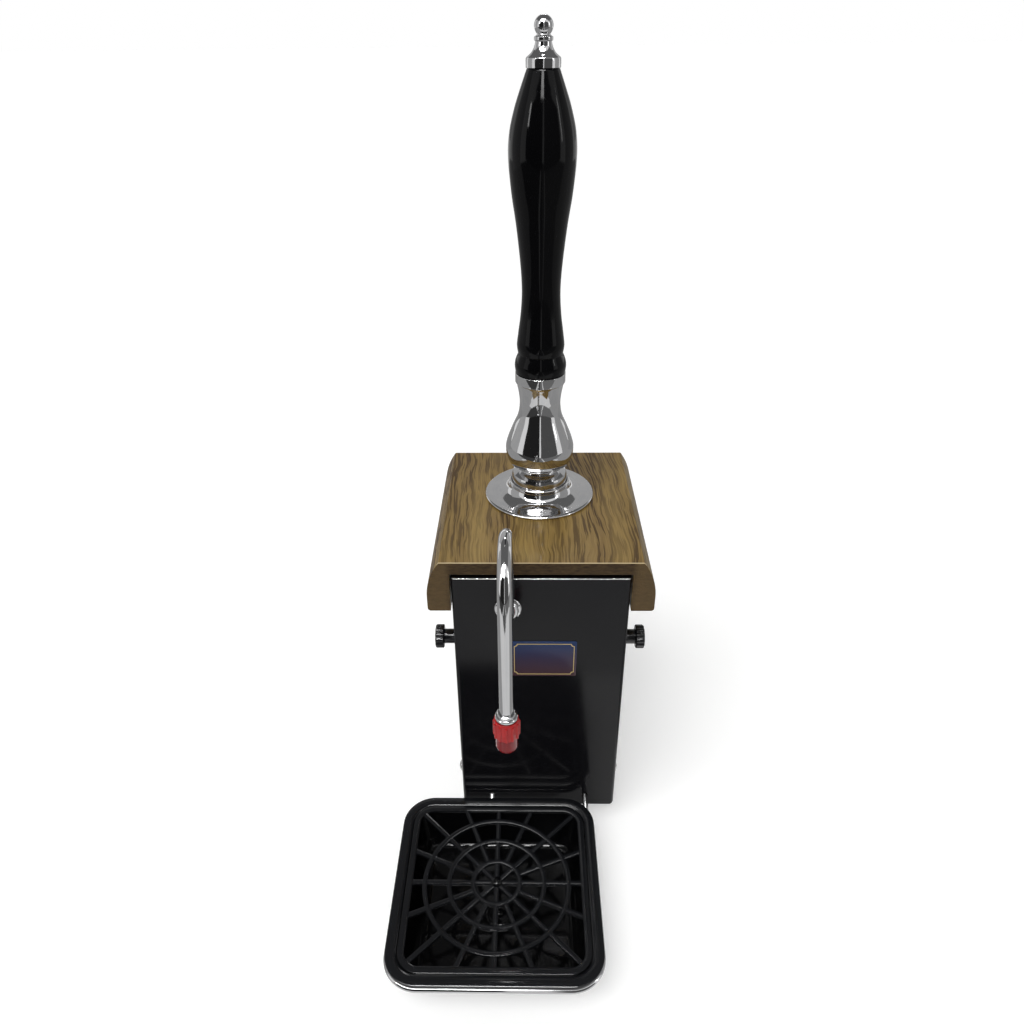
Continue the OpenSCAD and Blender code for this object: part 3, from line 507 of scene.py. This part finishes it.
class Layout:
    """One Geometry Nodes tree that sets out repeated or swept parts, with named sizes."""

    def __init__(self, name, **sizes):
        kinds = {int: "NodeSocketInt", float: "NodeSocketFloat",
                 bpy.types.Object: "NodeSocketObject"}
        self.tree = bpy.data.node_groups.new(name, "GeometryNodeTree")
        self.tree.interface.new_socket("Geometry", in_out="OUTPUT",
                                       socket_type="NodeSocketGeometry")
        self.values = {}
        for label, value in sizes.items():
            made = self.tree.interface.new_socket(label, in_out="INPUT",
                                                  socket_type=kinds[type(value)])
            self.values[made.identifier] = value
        self.given = self.tree.nodes.new("NodeGroupInput")

    def size(self, label):
        return Socket(self, self.given.outputs[label])

    node = Finish.node

    def vector(self, x, y, z):
        return self.node("ShaderNodeCombineXYZ", {}, {0: x, 1: y, 2: z})

    def joined(self, parts):
        made = self.tree.nodes.new("GeometryNodeJoinGeometry")
        for part in reversed(parts):
            self.tree.links.new(part.link, made.inputs[0])
        return Socket(self, made.outputs[0])

    def made(self, name, geometry, material, sharp=SHARP):
        """Runs the tree once and returns its result as a plain mesh object."""
        whole = self.node("GeometryNodeRealizeInstances", {}, {0: geometry})
        whole = self.node("GeometryNodeSetMaterial", {}, {0: whole, 2: material})
        out = self.tree.nodes.new("NodeGroupOutput")
        self.tree.links.new(whole.link, out.inputs[0])
        piece = linked(name, bpy.data.meshes.new(name + "_start"))
        run = piece.modifiers.new("layout", "NODES")
        run.node_group = self.tree
        for identifier, value in self.values.items():
            run[identifier] = value
        piece.update_tag()
        seen = bpy.context.evaluated_depsgraph_get()
        mesh = bpy.data.meshes.new_from_object(piece.evaluated_get(seen))
        piece.modifiers.clear()
        bm = bmesh.new()
        bm.from_mesh(mesh)
        piece.data = outward(bm, mesh)
        return smoothed(piece, material, sharp)


def swept(name, points, radius, material, closed=False, sides=40):
    """A round bar or tube along points, in mm."""
    line = bpy.data.curves.new(name + "_line", "CURVE")
    line.dimensions = "3D"
    spline = line.splines.new("POLY")
    spline.points.add(len(points) - 1)
    for spot, p in zip(spline.points, points):
        spot.co = (*[c * mm for c in p], 1)
    spline.use_cyclic_u = closed
    path = linked(name + "_line", line)
    plan = Layout(name + "_layout", Path=path, Radius=radius * mm, Sides=sides)
    curve = plan.node("GeometryNodeObjectInfo", {"transform_space": "ORIGINAL"},
                      {"Object": plan.size("Path")}, "Geometry")
    ring = plan.node("GeometryNodeCurvePrimitiveCircle", {},
                     {"Resolution": plan.size("Sides"), "Radius": plan.size("Radius")})
    tube = plan.node("GeometryNodeCurveToMesh", {},
                     {"Curve": curve, "Profile Curve": ring, "Fill Caps": True})
    piece = plan.made(name, tube, material, sharp=50)
    bpy.data.objects.remove(path)
    return piece


# ---------------------------------------------------------------- handle, ferrule and rose
# Sizes and places from here on are in mm. A profile's heights count from its own foot.
AXIS_Y = -40.0
BOARD_TOP = 43.0
FERRULE_TALL = 104.2
GRIP_TALL = 197.7


def arc(radius, height, angles):
    """Stations on a ball round the axis, with its middle at a height. Angles in degrees."""
    return [(radius * math.cos(math.radians(a)), height + radius * math.sin(math.radians(a)))
            for a in angles]


def handle_pieces():
    grip_foot = BOARD_TOP + FERRULE_TALL
    swell = through([(18.6, 1.2), (19.1, 5.8), (18.4, 10), (16.6, 14.6), (16.8, 16), (17.4, 21.4),
                     (16.4, 30), (14.6, 44), (13.7, 59.8), (14.6, 78), (17.4, 104), (20.6, 126),
                     (22.5, 147.1), (21.6, 162), (18.2, 176), (14.4, 187), (10.8, 196.6)], 10)
    grip = turned("turned_grip", [(POLE, 0), (17.4, 0), (18.1, 0.35)] + swell
                  + [(10.5, 197.4), (10.1, GRIP_TALL), (POLE, GRIP_TALL)],
                  (0, AXIS_Y, grip_foot), grip_black, steps=160)
    fitted(grip, "lever", "handle_grip", slot="handle_black")

    ball = arc(22, 14.5, range(-5, 13))
    body = through([(21.0, 20.4), (18.6, 22), (15.5, 24), (16.4, 25.6), (19.7, 27.3),
                    (23.6, 30.7), (25.85, 36.5), (26.45, 43.2), (24.85, 50), (21, 60),
                    (16.8, 70), (15.5, 79.5), (16.2, 88), (17.6, 95)], 10)
    collar = eased([(17.6, 95), (18.1, 96.4), (18.8, 97.0), (18.8, FERRULE_TALL),
                    (17.5, FERRULE_TALL)], 0.35)[1:]
    ferrule = turned("turned_ferrule", [(POLE, 6.5), (7, 6.5)] + ball + body + collar
                     + [(POLE, FERRULE_TALL)], (0, AXIS_Y, BOARD_TOP), chrome, steps=160)
    fitted(ferrule, "lever", "ferrule", slot="chrome")

    foot = eased([(POLE, 0.02), (10.4, 0.02), (10.95, 0.5)], 0.3)
    knob = through([(10.95, 1), (10.95, 5.2), (10.2, 6.4), (7.6, 8.6), (5.9, 11.4), (5.1, 14.2)], 8)
    neck = eased([(5.1, 14.4), (5.9, 15.0), (5.9, 16.8), (4.4, 17.7)], 0.35, 3)
    bead = arc(5.95, 22.6, range(-46, 90, 4))
    top = turned("turned_finial", foot + knob + neck + bead + [(POLE, 28.55)],
                 (0, AXIS_Y, grip_foot + GRIP_TALL), chrome, steps=112)
    fitted(top, "lever", "finial", slot="chrome")

    edge = eased([(22.3, 0.02), (42.8, 0.02), (43.4, 0.6), (43.4, 1.6)], 0.25, 3)
    dish = through([(43.4, 1.6), (42.2, 2.4), (37.4, 2.8), (32.4, 3.4), (27.8, 4.8), (24.9, 7.2),
                    (23.4, 10.2)], 10)[1:]
    lip = eased([(23.4, 10.2), (23.3, 11.2), (24, 11.9), (24, 13.4), (23.5, 13.9), (22.6, 13.9),
                 (22.3, 13.5)], 0.3, 3)[1:]
    rose = turned("spun_rose", edge + dish + lip, (0, AXIS_Y, BOARD_TOP), chrome, steps=176,
                  closed=True)
    fitted(rose, "rose", "rose", slot="chrome")


# ---------------------------------------------------------------- spout and sparkler
SPOUT_X, FRONT = -24.0, -141.0
HOLE_Z, NOZZLE_Z = 3.5, -25.3
ELBOW, ELBOW_START = 9.0, FRONT - 5
ARCH, ARCH_Y, ARCH_Z = 30.5, -185.5, 59.5
LEG_Y = ARCH_Y - ARCH


def spout_pieces():
    path = [(SPOUT_X, FRONT + 0.02, HOLE_Z), (SPOUT_X, ELBOW_START, HOLE_Z)]
    for k in range(1, 17):
        a = math.pi / 2 * k / 16
        path.append((SPOUT_X, ELBOW_START - ELBOW * math.sin(a),
                     HOLE_Z + ELBOW - ELBOW * math.cos(a)))
    for k in range(65):
        a = math.pi * k / 64
        path.append((SPOUT_X, ARCH_Y + ARCH * math.cos(a), ARCH_Z + ARCH * math.sin(a)))
    path.append((SPOUT_X, LEG_Y, NOZZLE_Z - 0.4))
    fitted(swept("swan_tube", path, 4.75, chrome, sides=48), "root", "swan_neck", slot="chrome")

    flange = turned("hole_flange", eased([(4.8, 0), (10.1, 0), (10.1, 1.3), (9.3, 2.1), (7.8, 2.4),
                                          (7.8, 3.9), (7.0, 5.0), (4.8, 5.0)], 0.35, 3),
                    (SPOUT_X, FRONT, HOLE_Z), chrome, way="front", steps=96, closed=True)
    fitted(flange, "root", "spout_flange", slot="chrome")

    nozzle = (SPOUT_X, LEG_Y, NOZZLE_Z)
    ring = turned("nozzle_ring", eased([(3.25, 0), (5.75, 0), (6.5, -0.5), (6.5, -1.8), (6.0, -2.3),
                                        (7.2, -2.5), (7.7, -3.0), (7.7, -4.5), (7.2, -5.1),
                                        (5.2, -5.1), (5.2, -14.6), (3.25, -14.6)], 0.35),
                  nozzle, chrome, steps=96, closed=True)
    fitted(ring, "root", "nozzle", slot="chrome")

    cup = eased([(5.26, -15.1), (5.26, -6.7), (7.0, -6.7), (7.0, -5.75), (7.9, -5.7), (8.5, -6.4),
                 (8.5, -20.2), (8.0, -20.7), (7.65, -21.2), (7.65, -30.4), (7.2, -32.1),
                 (6.4, -32.9), (5.6, -32.9), (5.0, -31.4), (5.0, -17.1)], 0.35, 3)
    body = turned("sparkler_cup", cup, nozzle, nozzle_red, steps=96, closed=True)
    fitted(body, "sparkler", "sparkler", slot="sparkler_red")

    plan = Layout("sparkler_ribs_layout", Ribs=12, Reach=8.25 * mm, Thick=1.15 * mm,
                  Tall=13.4 * mm)
    spine = plan.node("GeometryNodeCurvePrimitiveLine", {},
                      {"Start": (0, 0, 0), "End": plan.vector(0.0, 0.0, plan.size("Tall"))})
    spine = plan.node("GeometryNodeResampleCurve", {}, {"Curve": spine, "Count": 41})
    along = plan.node("GeometryNodeSplineParameter", {}, {}, "Factor")
    # full for most of a rib's length, round at its ends
    full = (1.0 - (along * 2.0 - 1.0).absolute() ** 26.0).maths("SQRT").most(0.02)
    spine = plan.node("GeometryNodeSetCurveRadius", {}, {"Curve": spine, "Radius": full})
    ring = plan.node("GeometryNodeCurvePrimitiveCircle", {},
                     {"Resolution": 14, "Radius": plan.size("Thick")})
    rib = plan.node("GeometryNodeCurveToMesh", {},
                    {"Curve": spine, "Profile Curve": ring, "Fill Caps": True, "Scale": full})
    spots = plan.node("GeometryNodeMeshCircle", {},
                      {"Vertices": plan.size("Ribs"), "Radius": plan.size("Reach")})
    ribs = plan.node("GeometryNodeInstanceOnPoints", {}, {"Points": spots, "Instance": rib})
    ribs_foot = Vector((SPOUT_X, LEG_Y, NOZZLE_Z - 20.6))
    ribs = plan.node("GeometryNodeTransform", {},
                     {"Geometry": ribs, "Translation": tuple(ribs_foot * mm)})
    fitted(plan.made("sparkler_ribs", ribs, nozzle_red), "sparkler", slot="sparkler_red")


# ---------------------------------------------------------------- screws at the sides
THUMB = Vector((66.3, -116.0, -44.0))  # where the right screw's shoulder sits


def thumb_pieces():
    flutes, depth, core = 12, 0.85, 6.0

    def fluted(r, angle):
        """Soft grooves that fade out towards the middle of the head's faces."""
        from_groove = 1 - abs((angle * flutes / (2 * math.pi)) % 1.0 - 0.5) * 2
        groove = math.exp(-(from_groove / 0.42) ** 2)
        return r - depth * groove * min(1.0, max(0.0, (r - core) / 2.5))

    head = eased([(POLE, 8.7), (8.5, 8.7), (9.3, 9.3), (9.3, 14.6), (8.6, 15.4), (6.4, 15.4),
                  (6.0, 15.1), (POLE, 15.1)], 0.5)
    neck = eased([(POLE, -13), (3, -13), (3, 0), (5.8, 0), (5.8, 8.75), (POLE, 8.75)], 0.3, 3)
    for name, side in (("right", 1), ("left", -1)):
        at = (side * THUMB.x, THUMB.y, THUMB.z)
        fitted(turned("thumb_head_" + name, head, at, thumb_black, way=name, steps=192,
                      radius_at=fluted, sharp=50),
               "thumb_" + name, "thumb_screw_" + name, slot="thumb_black")
        fitted(turned("thumb_neck_" + name, neck, at, thumb_black, way=name, steps=64),
               "thumb_" + name, slot="thumb_black")


# ---------------------------------------------------------------- tray, grid and wire
TRAY = Vector((-33.4, -225.8, -197.0))  # the middle of the rim's top


def rounded_square(half, radius, z, steps):
    """Points round a rounded square about the tray's middle, in metres. z counts from TRAY."""
    line = []
    for quarter, (sx, sy) in enumerate(((1, 1), (1, -1), (-1, -1), (-1, 1))):
        start = math.pi / 2 - quarter * math.pi / 2
        mid_x, mid_y = TRAY.x + sx * (half - radius), TRAY.y + sy * (half - radius)
        for k in range(steps + 1):
            a = start - math.pi / 2 * k / steps
            line.append(Vector((mid_x + radius * math.cos(a), mid_y + radius * math.sin(a),
                                TRAY.z + z)) * mm)
    return line


def tray_pieces():
    # half width, corner radius, height over the rim's top, from the underside over the rim's
    # edge and its step down to the floor
    levels = [
        (52.0, 8.0, -37.99), (58.2, 12.2, -37.99), (59.0, 13.0, -37.0), (68.9, 17.0, -3.5),
        (78.2, 24.2, -3.5), (78.8, 24.8, -3.3),
        (79.0, 25.0, -2.9), (79.0, 25.0, -0.9), (78.72, 24.7, -0.35), (78.1, 24.1, 0.0),
        (71.6, 17.6, 0.0), (71.0, 17.0, -0.3), (70.65, 17.0, -0.8), (70.6, 17.0, -2.6),
        (67.6, 15.0, -2.6), (67.0, 14.6, -3.1), (66.6, 14.2, -6.0), (60.4, 11.8, -31.2),
        (59.9, 11.5, -32.4), (59.0, 11.0, -33.6), (57.6, 10.0, -34.7), (55.6, 9.0, -35.4),
        (53.0, 8.0, -35.6), (40.0, 6.0, -35.3)]
    skin = rings_mesh([rounded_square(*level, 12) for level in levels])
    tray = settled(skin, "moulded_tray", charcoal, 30)
    tray.data.materials.append(shaded_basin_black)
    # the basin's faces get the darker copy of the plastic, painted shade in the recess
    basin_half, basin_top = 70.62, -0.9
    for face in tray.data.polygons:
        mid = face.center / mm - TRAY
        inside = max(abs(mid.x), abs(mid.y)) < basin_half and mid.z < basin_top
        if inside and face.normal.z > -0.9:
            face.material_index = 1
    fitted(tray, "drip_tray", "drip_tray", slot="tray_black")

    boss = eased([(POLE, -36.5), (11.0, -36.5), (11.0, -34.6), (9.6, -33.9), (7.4, -33.9),
                  (6.6, -34.5), (3.6, -34.5), (3.3, -32.6), (2.0, -31.7), (POLE, -31.4)], 0.5)
    fitted(turned("drain_boss", boss, (TRAY.x + 1.5, TRAY.y - 4.0, TRAY.z), shaded_basin_black, steps=64),
           "drip_tray", slot="tray_black")

    plan = Layout("grid_layout", Spokes=16, Bar=3.7 * mm, Frame=5.0 * mm, Tall=2.5 * mm,
                  Reach=66.5 * mm, Corner=88.5 * mm, Half=67.4 * mm, Turn=14.0 * mm,
                  Inner=17.95 * mm, Middle=36.67 * mm, Outer=55.54 * mm, Edge=0.3 * mm)

    def section(width):
        flat = plan.node("GeometryNodeCurvePrimitiveQuadrilateral", {},
                         {"Width": width, "Height": plan.size("Tall")})
        return plan.node("GeometryNodeFilletCurve", {"mode": "POLY"},
                         {"Curve": flat, "Radius": plan.size("Edge"), "Count": 2})

    def drawn(curve, width):
        return plan.node("GeometryNodeCurveToMesh", {},
                         {"Curve": curve, "Profile Curve": section(width), "Fill Caps": True})

    bar = plan.node("GeometryNodeCurvePrimitiveLine", {}, {"Start": (0, 0, 0), "End": (1, 0, 0)})
    bar = drawn(bar, plan.size("Bar"))
    parts = []
    # every second spoke starts at the middle, the others at the inner ring
    for first, start in ((0.0, 0.0), (1.0, plan.size("Inner"))):
        row = plan.node("GeometryNodeMeshLine", {},
                        {"Count": plan.size("Spokes") / 2.0, "Offset": (0, 0, 0)})
        number = plan.node("GeometryNodeInputIndex", {}, {})
        angle = (number * 2.0 + first) / plan.size("Spokes") * (2 * math.pi)
        cosine, sine = angle.maths("COSINE"), angle.maths("SINE")
        widest = cosine.absolute().most(sine.absolute())
        long = (plan.size("Reach") / widest).least(plan.size("Corner")) - start
        # each spoke lies 0.01 mm under the one before, so that no two tops share a plane
        low = -0.00005 - number * 0.00001
        row = plan.node("GeometryNodeSetPosition", {},
                        {"Geometry": row,
                         "Position": plan.vector(cosine * start, sine * start, low)})
        parts.append(plan.node("GeometryNodeInstanceOnPoints", {},
                               {"Points": row, "Instance": bar,
                                "Rotation": plan.vector(0.0, 0.0, angle),
                                "Scale": plan.vector(long, 1.0, 1.0)}))
    for label in ("Inner", "Middle", "Outer"):
        circle = plan.node("GeometryNodeCurvePrimitiveCircle", {},
                           {"Resolution": 96, "Radius": plan.size(label)})
        parts.append(drawn(circle, plan.size("Bar")))
    wide = plan.size("Half") * 2.0
    rim = plan.node("GeometryNodeCurvePrimitiveQuadrilateral", {}, {"Width": wide, "Height": wide})
    rim = plan.node("GeometryNodeFilletCurve", {"mode": "POLY"},
                    {"Curve": rim, "Radius": plan.size("Turn"), "Count": 12})
    parts.append(drawn(rim, plan.size("Frame")))
    middle = Vector((TRAY.x, TRAY.y, TRAY.z - 1.3))
    whole = plan.node("GeometryNodeTransform", {},
                      {"Geometry": plan.joined(parts), "Translation": tuple(middle * mm)})
    fitted(plan.made("grid_of_spokes", whole, charcoal, 40), "tray_grid", "tray_grid",
           slot="tray_black")
    button = (eased([(POLE, -2.5), (4.3, -2.5), (4.3, -0.2)], 0.3, 3)[:-1]
              + through([(4.3, -0.4), (4.0, 0.9), (3.1, 2.0), (1.7, 2.6), (POLE, 2.75)], 4))
    fitted(turned("grid_button", button, TRAY, shaded_basin_black, steps=48), "tray_grid",
           slot="tray_black")

    wire_z = -203.2
    ring = [tuple(p / mm) for p in rounded_square(77.5, 23.5, wire_z - TRAY.z, 16)]
    fitted(swept("wire_ring", ring, 2.5, chrome, closed=True, sides=24), "tray_holder",
           "tray_holder", slot="chrome")
    prong_x, prong_z, bend_y, end_y = 40, -200.0, -140.2, -111.5
    for name, side, back_y, low in (("left", -1, -148.3, -204.3), ("right", 1, -158.5, -203.6)):
        line = eased([(side * prong_x, back_y, low), (side * prong_x, bend_y, prong_z),
                      (side * prong_x, end_y, prong_z)], 3.0, 8)
        fitted(swept("wire_prong_" + name, line, 2.3, chrome, sides=24), "tray_holder",
               slot="chrome")


# ---------------------------------------------------------------- cap, casing and plate
PLATE_X, PLATE_Z = 3, -45


def plate_ring(line, lift):
    """Points of a line (x, z) about the plate's middle, lifted off the casing's front."""
    return [Vector((PLATE_X + x, FRONT - lift, PLATE_Z + z)) * mm for x, z in line]


def scooped(w, h, cut=2.3, steps=5):
    """A rectangle of half width w and half height h, with its corners scooped inwards."""
    line = []
    for sx, sy in ((1, 1), (-1, 1), (-1, -1), (1, -1)):
        scoop = [(sx * (w - cut * math.cos(a)), sy * (h - cut * math.sin(a)))
                 for a in (math.pi / 2 * k / steps for k in range(steps + 1))]
        line += scoop[::-1] if sx == sy else scoop
    return line


def body_pieces():
    fitted(softened("oak_cap", "wood_cap", oak, 1.1), "root", "wood_cap", slot="oak")

    fold_top, front, near = 0.030, -0.141, 2e-4

    def fold(edge):
        """The whole width for the fold at the front's top, a third of it elsewhere."""
        on_fold = all(abs(v.co.z - fold_top) < near and abs(v.co.y - front) < near
                      for v in edge.verts)
        return 1.0 if on_fold else 0.3

    fitted(softened("folded_casing", "casing", casing_black, 1.2, weight=fold), "root", "casing",
           slot="casing_black")

    w, h = 24.7, 17.05
    outline = eased([(-w, -h, 0), (w, -h, 0), (w, h, 0), (-w, h, 0)], 1.5, 5, closed=True)
    rings = []
    for inset, lift in ((0.0, 0.02), (0.0, 0.55), (0.1, 0.72), (0.28, 0.8)):
        shrunk = [(x * (1 - inset / w), z * (1 - inset / h)) for x, z, _ in outline]
        rings.append(plate_ring(shrunk, lift))
    plate = settled(rings_mesh(rings), "bare_plate", plate_blue, 40)
    fitted(plate, "root", "name_plate", slot="plate_bare")

    rings = [plate_ring(scooped(22.9 - inset, 15.2 - inset), lift)
             for inset, lift in ((0.0, 0.79), (0.0, 1.0), (0.5, 1.0), (0.5, 0.79))]
    border = settled(rings_mesh(rings, close_round=True), "plate_border", border_gold, 30)
    fitted(border, "root", slot="plate_bare")


handle_pieces()
spout_pieces()
thumb_pieces()
tray_pieces()
body_pieces()


# ---------------------------------------------------------------- camera, floor and lamps
def photograph_camera():
    """The camera that a fit to the photograph's edges gave."""
    yaw, pitch, roll = (math.radians(a) for a in (1.145, 31.386, 0.614))
    ahead = Vector((-math.sin(yaw) * math.cos(pitch), math.cos(yaw) * math.cos(pitch),
                    -math.sin(pitch)))
    right = Vector((math.cos(yaw), math.sin(yaw), 0))
    down = ahead.cross(right)
    right, down = (right * math.cos(roll) + down * math.sin(roll),
                   down * math.cos(roll) - right * math.sin(roll))
    data = bpy.data.cameras.new("photograph_camera")
    data.lens = 28.09
    data.sensor_width = 36.0
    data.clip_start = 0.02
    camera = linked("photograph_camera", data)
    turn = Matrix((right, -down, -ahead)).transposed().to_4x4()
    camera.matrix_world = Matrix.Translation((-0.011017, -0.603443, 0.368119)) @ turn
    bpy.context.scene.camera = camera


def aimed(at, towards, face):
    """The place and turn at which a thing's face looks towards a point."""
    turn = (Vector(towards) - Vector(at)).to_track_quat(face, "Y")
    return Matrix.Translation(at) @ turn.to_matrix().to_4x4()


def lamp(name, at, towards, size, watts):
    data = bpy.data.lights.new(name, "AREA")
    data.shape, data.size, data.size_y = "RECTANGLE", size[0], size[1]
    data.energy = watts
    linked(name, data).matrix_world = aimed(at, towards, "-Z")


def card(name, at, towards, size, shade):
    """A studio board that only shows in gloss."""
    w, h = size[0] / 2, size[1] / 2
    mesh = bpy.data.meshes.new(name)
    mesh.from_pydata([(-w, -h, 0), (w, -h, 0), (w, h, 0), (-w, h, 0)], [], [(0, 1, 2, 3)])
    mesh.transform(aimed(at, towards, "Z"))
    m = Finish(name + "_cloth", (0.0, 0.0, 0.0), 1.0, Specular_IOR_Level=0.0,
               Emission_Strength=1.0)
    cool, warm = (0.8, 0.82, 0.86), (1.2, 1.18, 1.14)
    m.feed("Emission Color", m.mixed(m.noise(9, 3), tuple(shade * c for c in cool),
                                     tuple(shade * c for c in warm)))
    mesh.materials.append(m.material)
    made = linked(name, mesh)
    made.visible_camera = made.visible_diffuse = made.visible_shadow = False
    made.visible_transmission = made.visible_volume_scatter = False


def shown(tree):
    """1 for the rays that see the background: camera, glossy and transmission."""
    path = tree.nodes.new("ShaderNodeLightPath")
    total = path.outputs["Is Camera Ray"]
    for name in ("Is Glossy Ray", "Is Transmission Ray"):
        add = tree.nodes.new("ShaderNodeMath")
        add.operation, add.use_clamp = "ADD", True
        tree.links.new(total, add.inputs[0])
        tree.links.new(path.outputs[name], add.inputs[1])
        total = add.outputs[0]
    return total


def pale_floor():
    reach, low = 30, -0.2375
    mesh = bpy.data.meshes.new("floor")
    mesh.from_pydata([(-reach, -reach, low), (reach, -reach, low), (reach, reach, low),
                      (-reach, reach, low)], [], [(0, 1, 2, 3)])
    m = Finish("floor_paper", (0.8, 0.8, 0.8), 0.9, Specular_IOR_Level=0.0,
               Emission_Strength=1.0)
    m.colour(m.mixed(m.noise(60, 3), (0.79, 0.79, 0.785), (0.81, 0.81, 0.805)))
    seen = Socket(m, shown(m.tree))
    m.feed("Emission Color", m.mixed(seen, (0.0, 0.0, 0.0), (0.36, 0.36, 0.36)))
    mesh.materials.append(m.material)
    linked("floor", mesh)


def pale_world():
    """White to the rays that see the background, and a plain grey light on the object."""
    world = bpy.data.worlds.new("studio")
    world.use_nodes = True
    tree = world.node_tree
    pick = tree.nodes.new("ShaderNodeMix")
    pick.data_type = "RGBA"
    tree.links.new(shown(tree), pick.inputs[0])
    pick.inputs[6].default_value = (0.42, 0.42, 0.42, 1)
    pick.inputs[7].default_value = (1, 1, 1, 1)
    tree.links.new(pick.outputs[2], tree.nodes["Background"].inputs[0])
    bpy.context.scene.world = world


# In metres: place, a point that it faces, width and height. Then watts.
LAMPS = {
    "lamp_front": ((-0.1, -1.25, 1.35), (0, -0.1, 0.15), (0.34, 0.24), 4.0),
    "lamp_left": ((-1.3, -0.95, 1.0), (0, -0.1, 0.1), (0.14, 0.36), 2.2),
    "lamp_right": ((1.5, -0.7, 0.8), (0, -0.1, 0.1), (0.1, 0.8), 1.5),
}

# The same, and then how bright the board is.
CARDS = {
    "ceiling_board": ((0, 0.9, 2.0), (0, 0.9, 0), (5.0, 3.2), 0.16),
    "strip_box": ((-0.1, -0.8, 1.75), (0, -0.1, 0.0), (0.9, 0.16), 70.0),
    "back_glint": ((0.02, 1.0, 0.98), (0, -0.05, 0.04), (0.3, 0.1), 12.0),
    "back_board": ((0.1, 2.3, 1.0), (0, 0, 0.6), (5.0, 1.7), 0.5),
    "front_board_left": ((-1.5, -1.85, 0.8), (-1.5, 0, 0.8), (2.9, 2.2), 0.02),
    "front_board_right": ((1.56, -1.8, 0.8), (1.56, 0, 0.8), (2.9, 2.2), 0.1),
    "left_board": ((-2.1, 0.3, 0.8), (0, 0, 0.6), (1.6, 2.2), 0.5),
    "right_board": ((2.1, 0.3, 0.8), (0, 0, 0.6), (1.6, 2.2), 0.4),
    "left_cloth": ((-1.4, 0.2, -0.236), (-1.4, 0.2, 1), (2.5, 3.8), 0.4),
    "right_cloth": ((1.4, 0.2, -0.236), (1.4, 0.2, 1), (2.5, 3.8), 0.4),
    "near_cloth": ((0.0, -0.45, -0.2355), (0.0, -0.45, 1), (1.2, 0.24), 0.85),
    "front_cloth_left": ((-1.28, -1.6, -0.235), (-1.28, -1.6, 1), (2.5, 2.06), 0.06),
    "front_cloth_right": ((1.22, -1.6, -0.235), (1.22, -1.6, 1), (2.5, 2.06), 0.2),
    "front_stripe_left": ((-0.2, -1.6, -0.2345), (-0.2, -1.6, 1), (0.1, 2.0), 0.8),
    "front_stripe_right": ((0.16, -1.6, -0.2345), (0.16, -1.6, 1), (0.06, 2.0), 0.8),
    "back_cloth": ((0.0, 1.6, -0.235), (0.0, 1.6, 1), (5.0, 2.2), 0.35),
}


def studio():
    pale_floor()
    pale_world()
    sky = bpy.data.lights.new("soft_sun", "SUN")
    sky.energy, sky.angle = 1.45, math.radians(35)
    linked("soft_sun", sky).matrix_world = aimed((0, 0, 0), (-0.35, -0.5, 1.0), "Z")
    for name, how in LAMPS.items():
        lamp(name, *how)
    for name, how in CARDS.items():
        card(name, *how)


photograph_camera()
studio()
bpy.context.scene.view_settings.view_transform = "Standard"
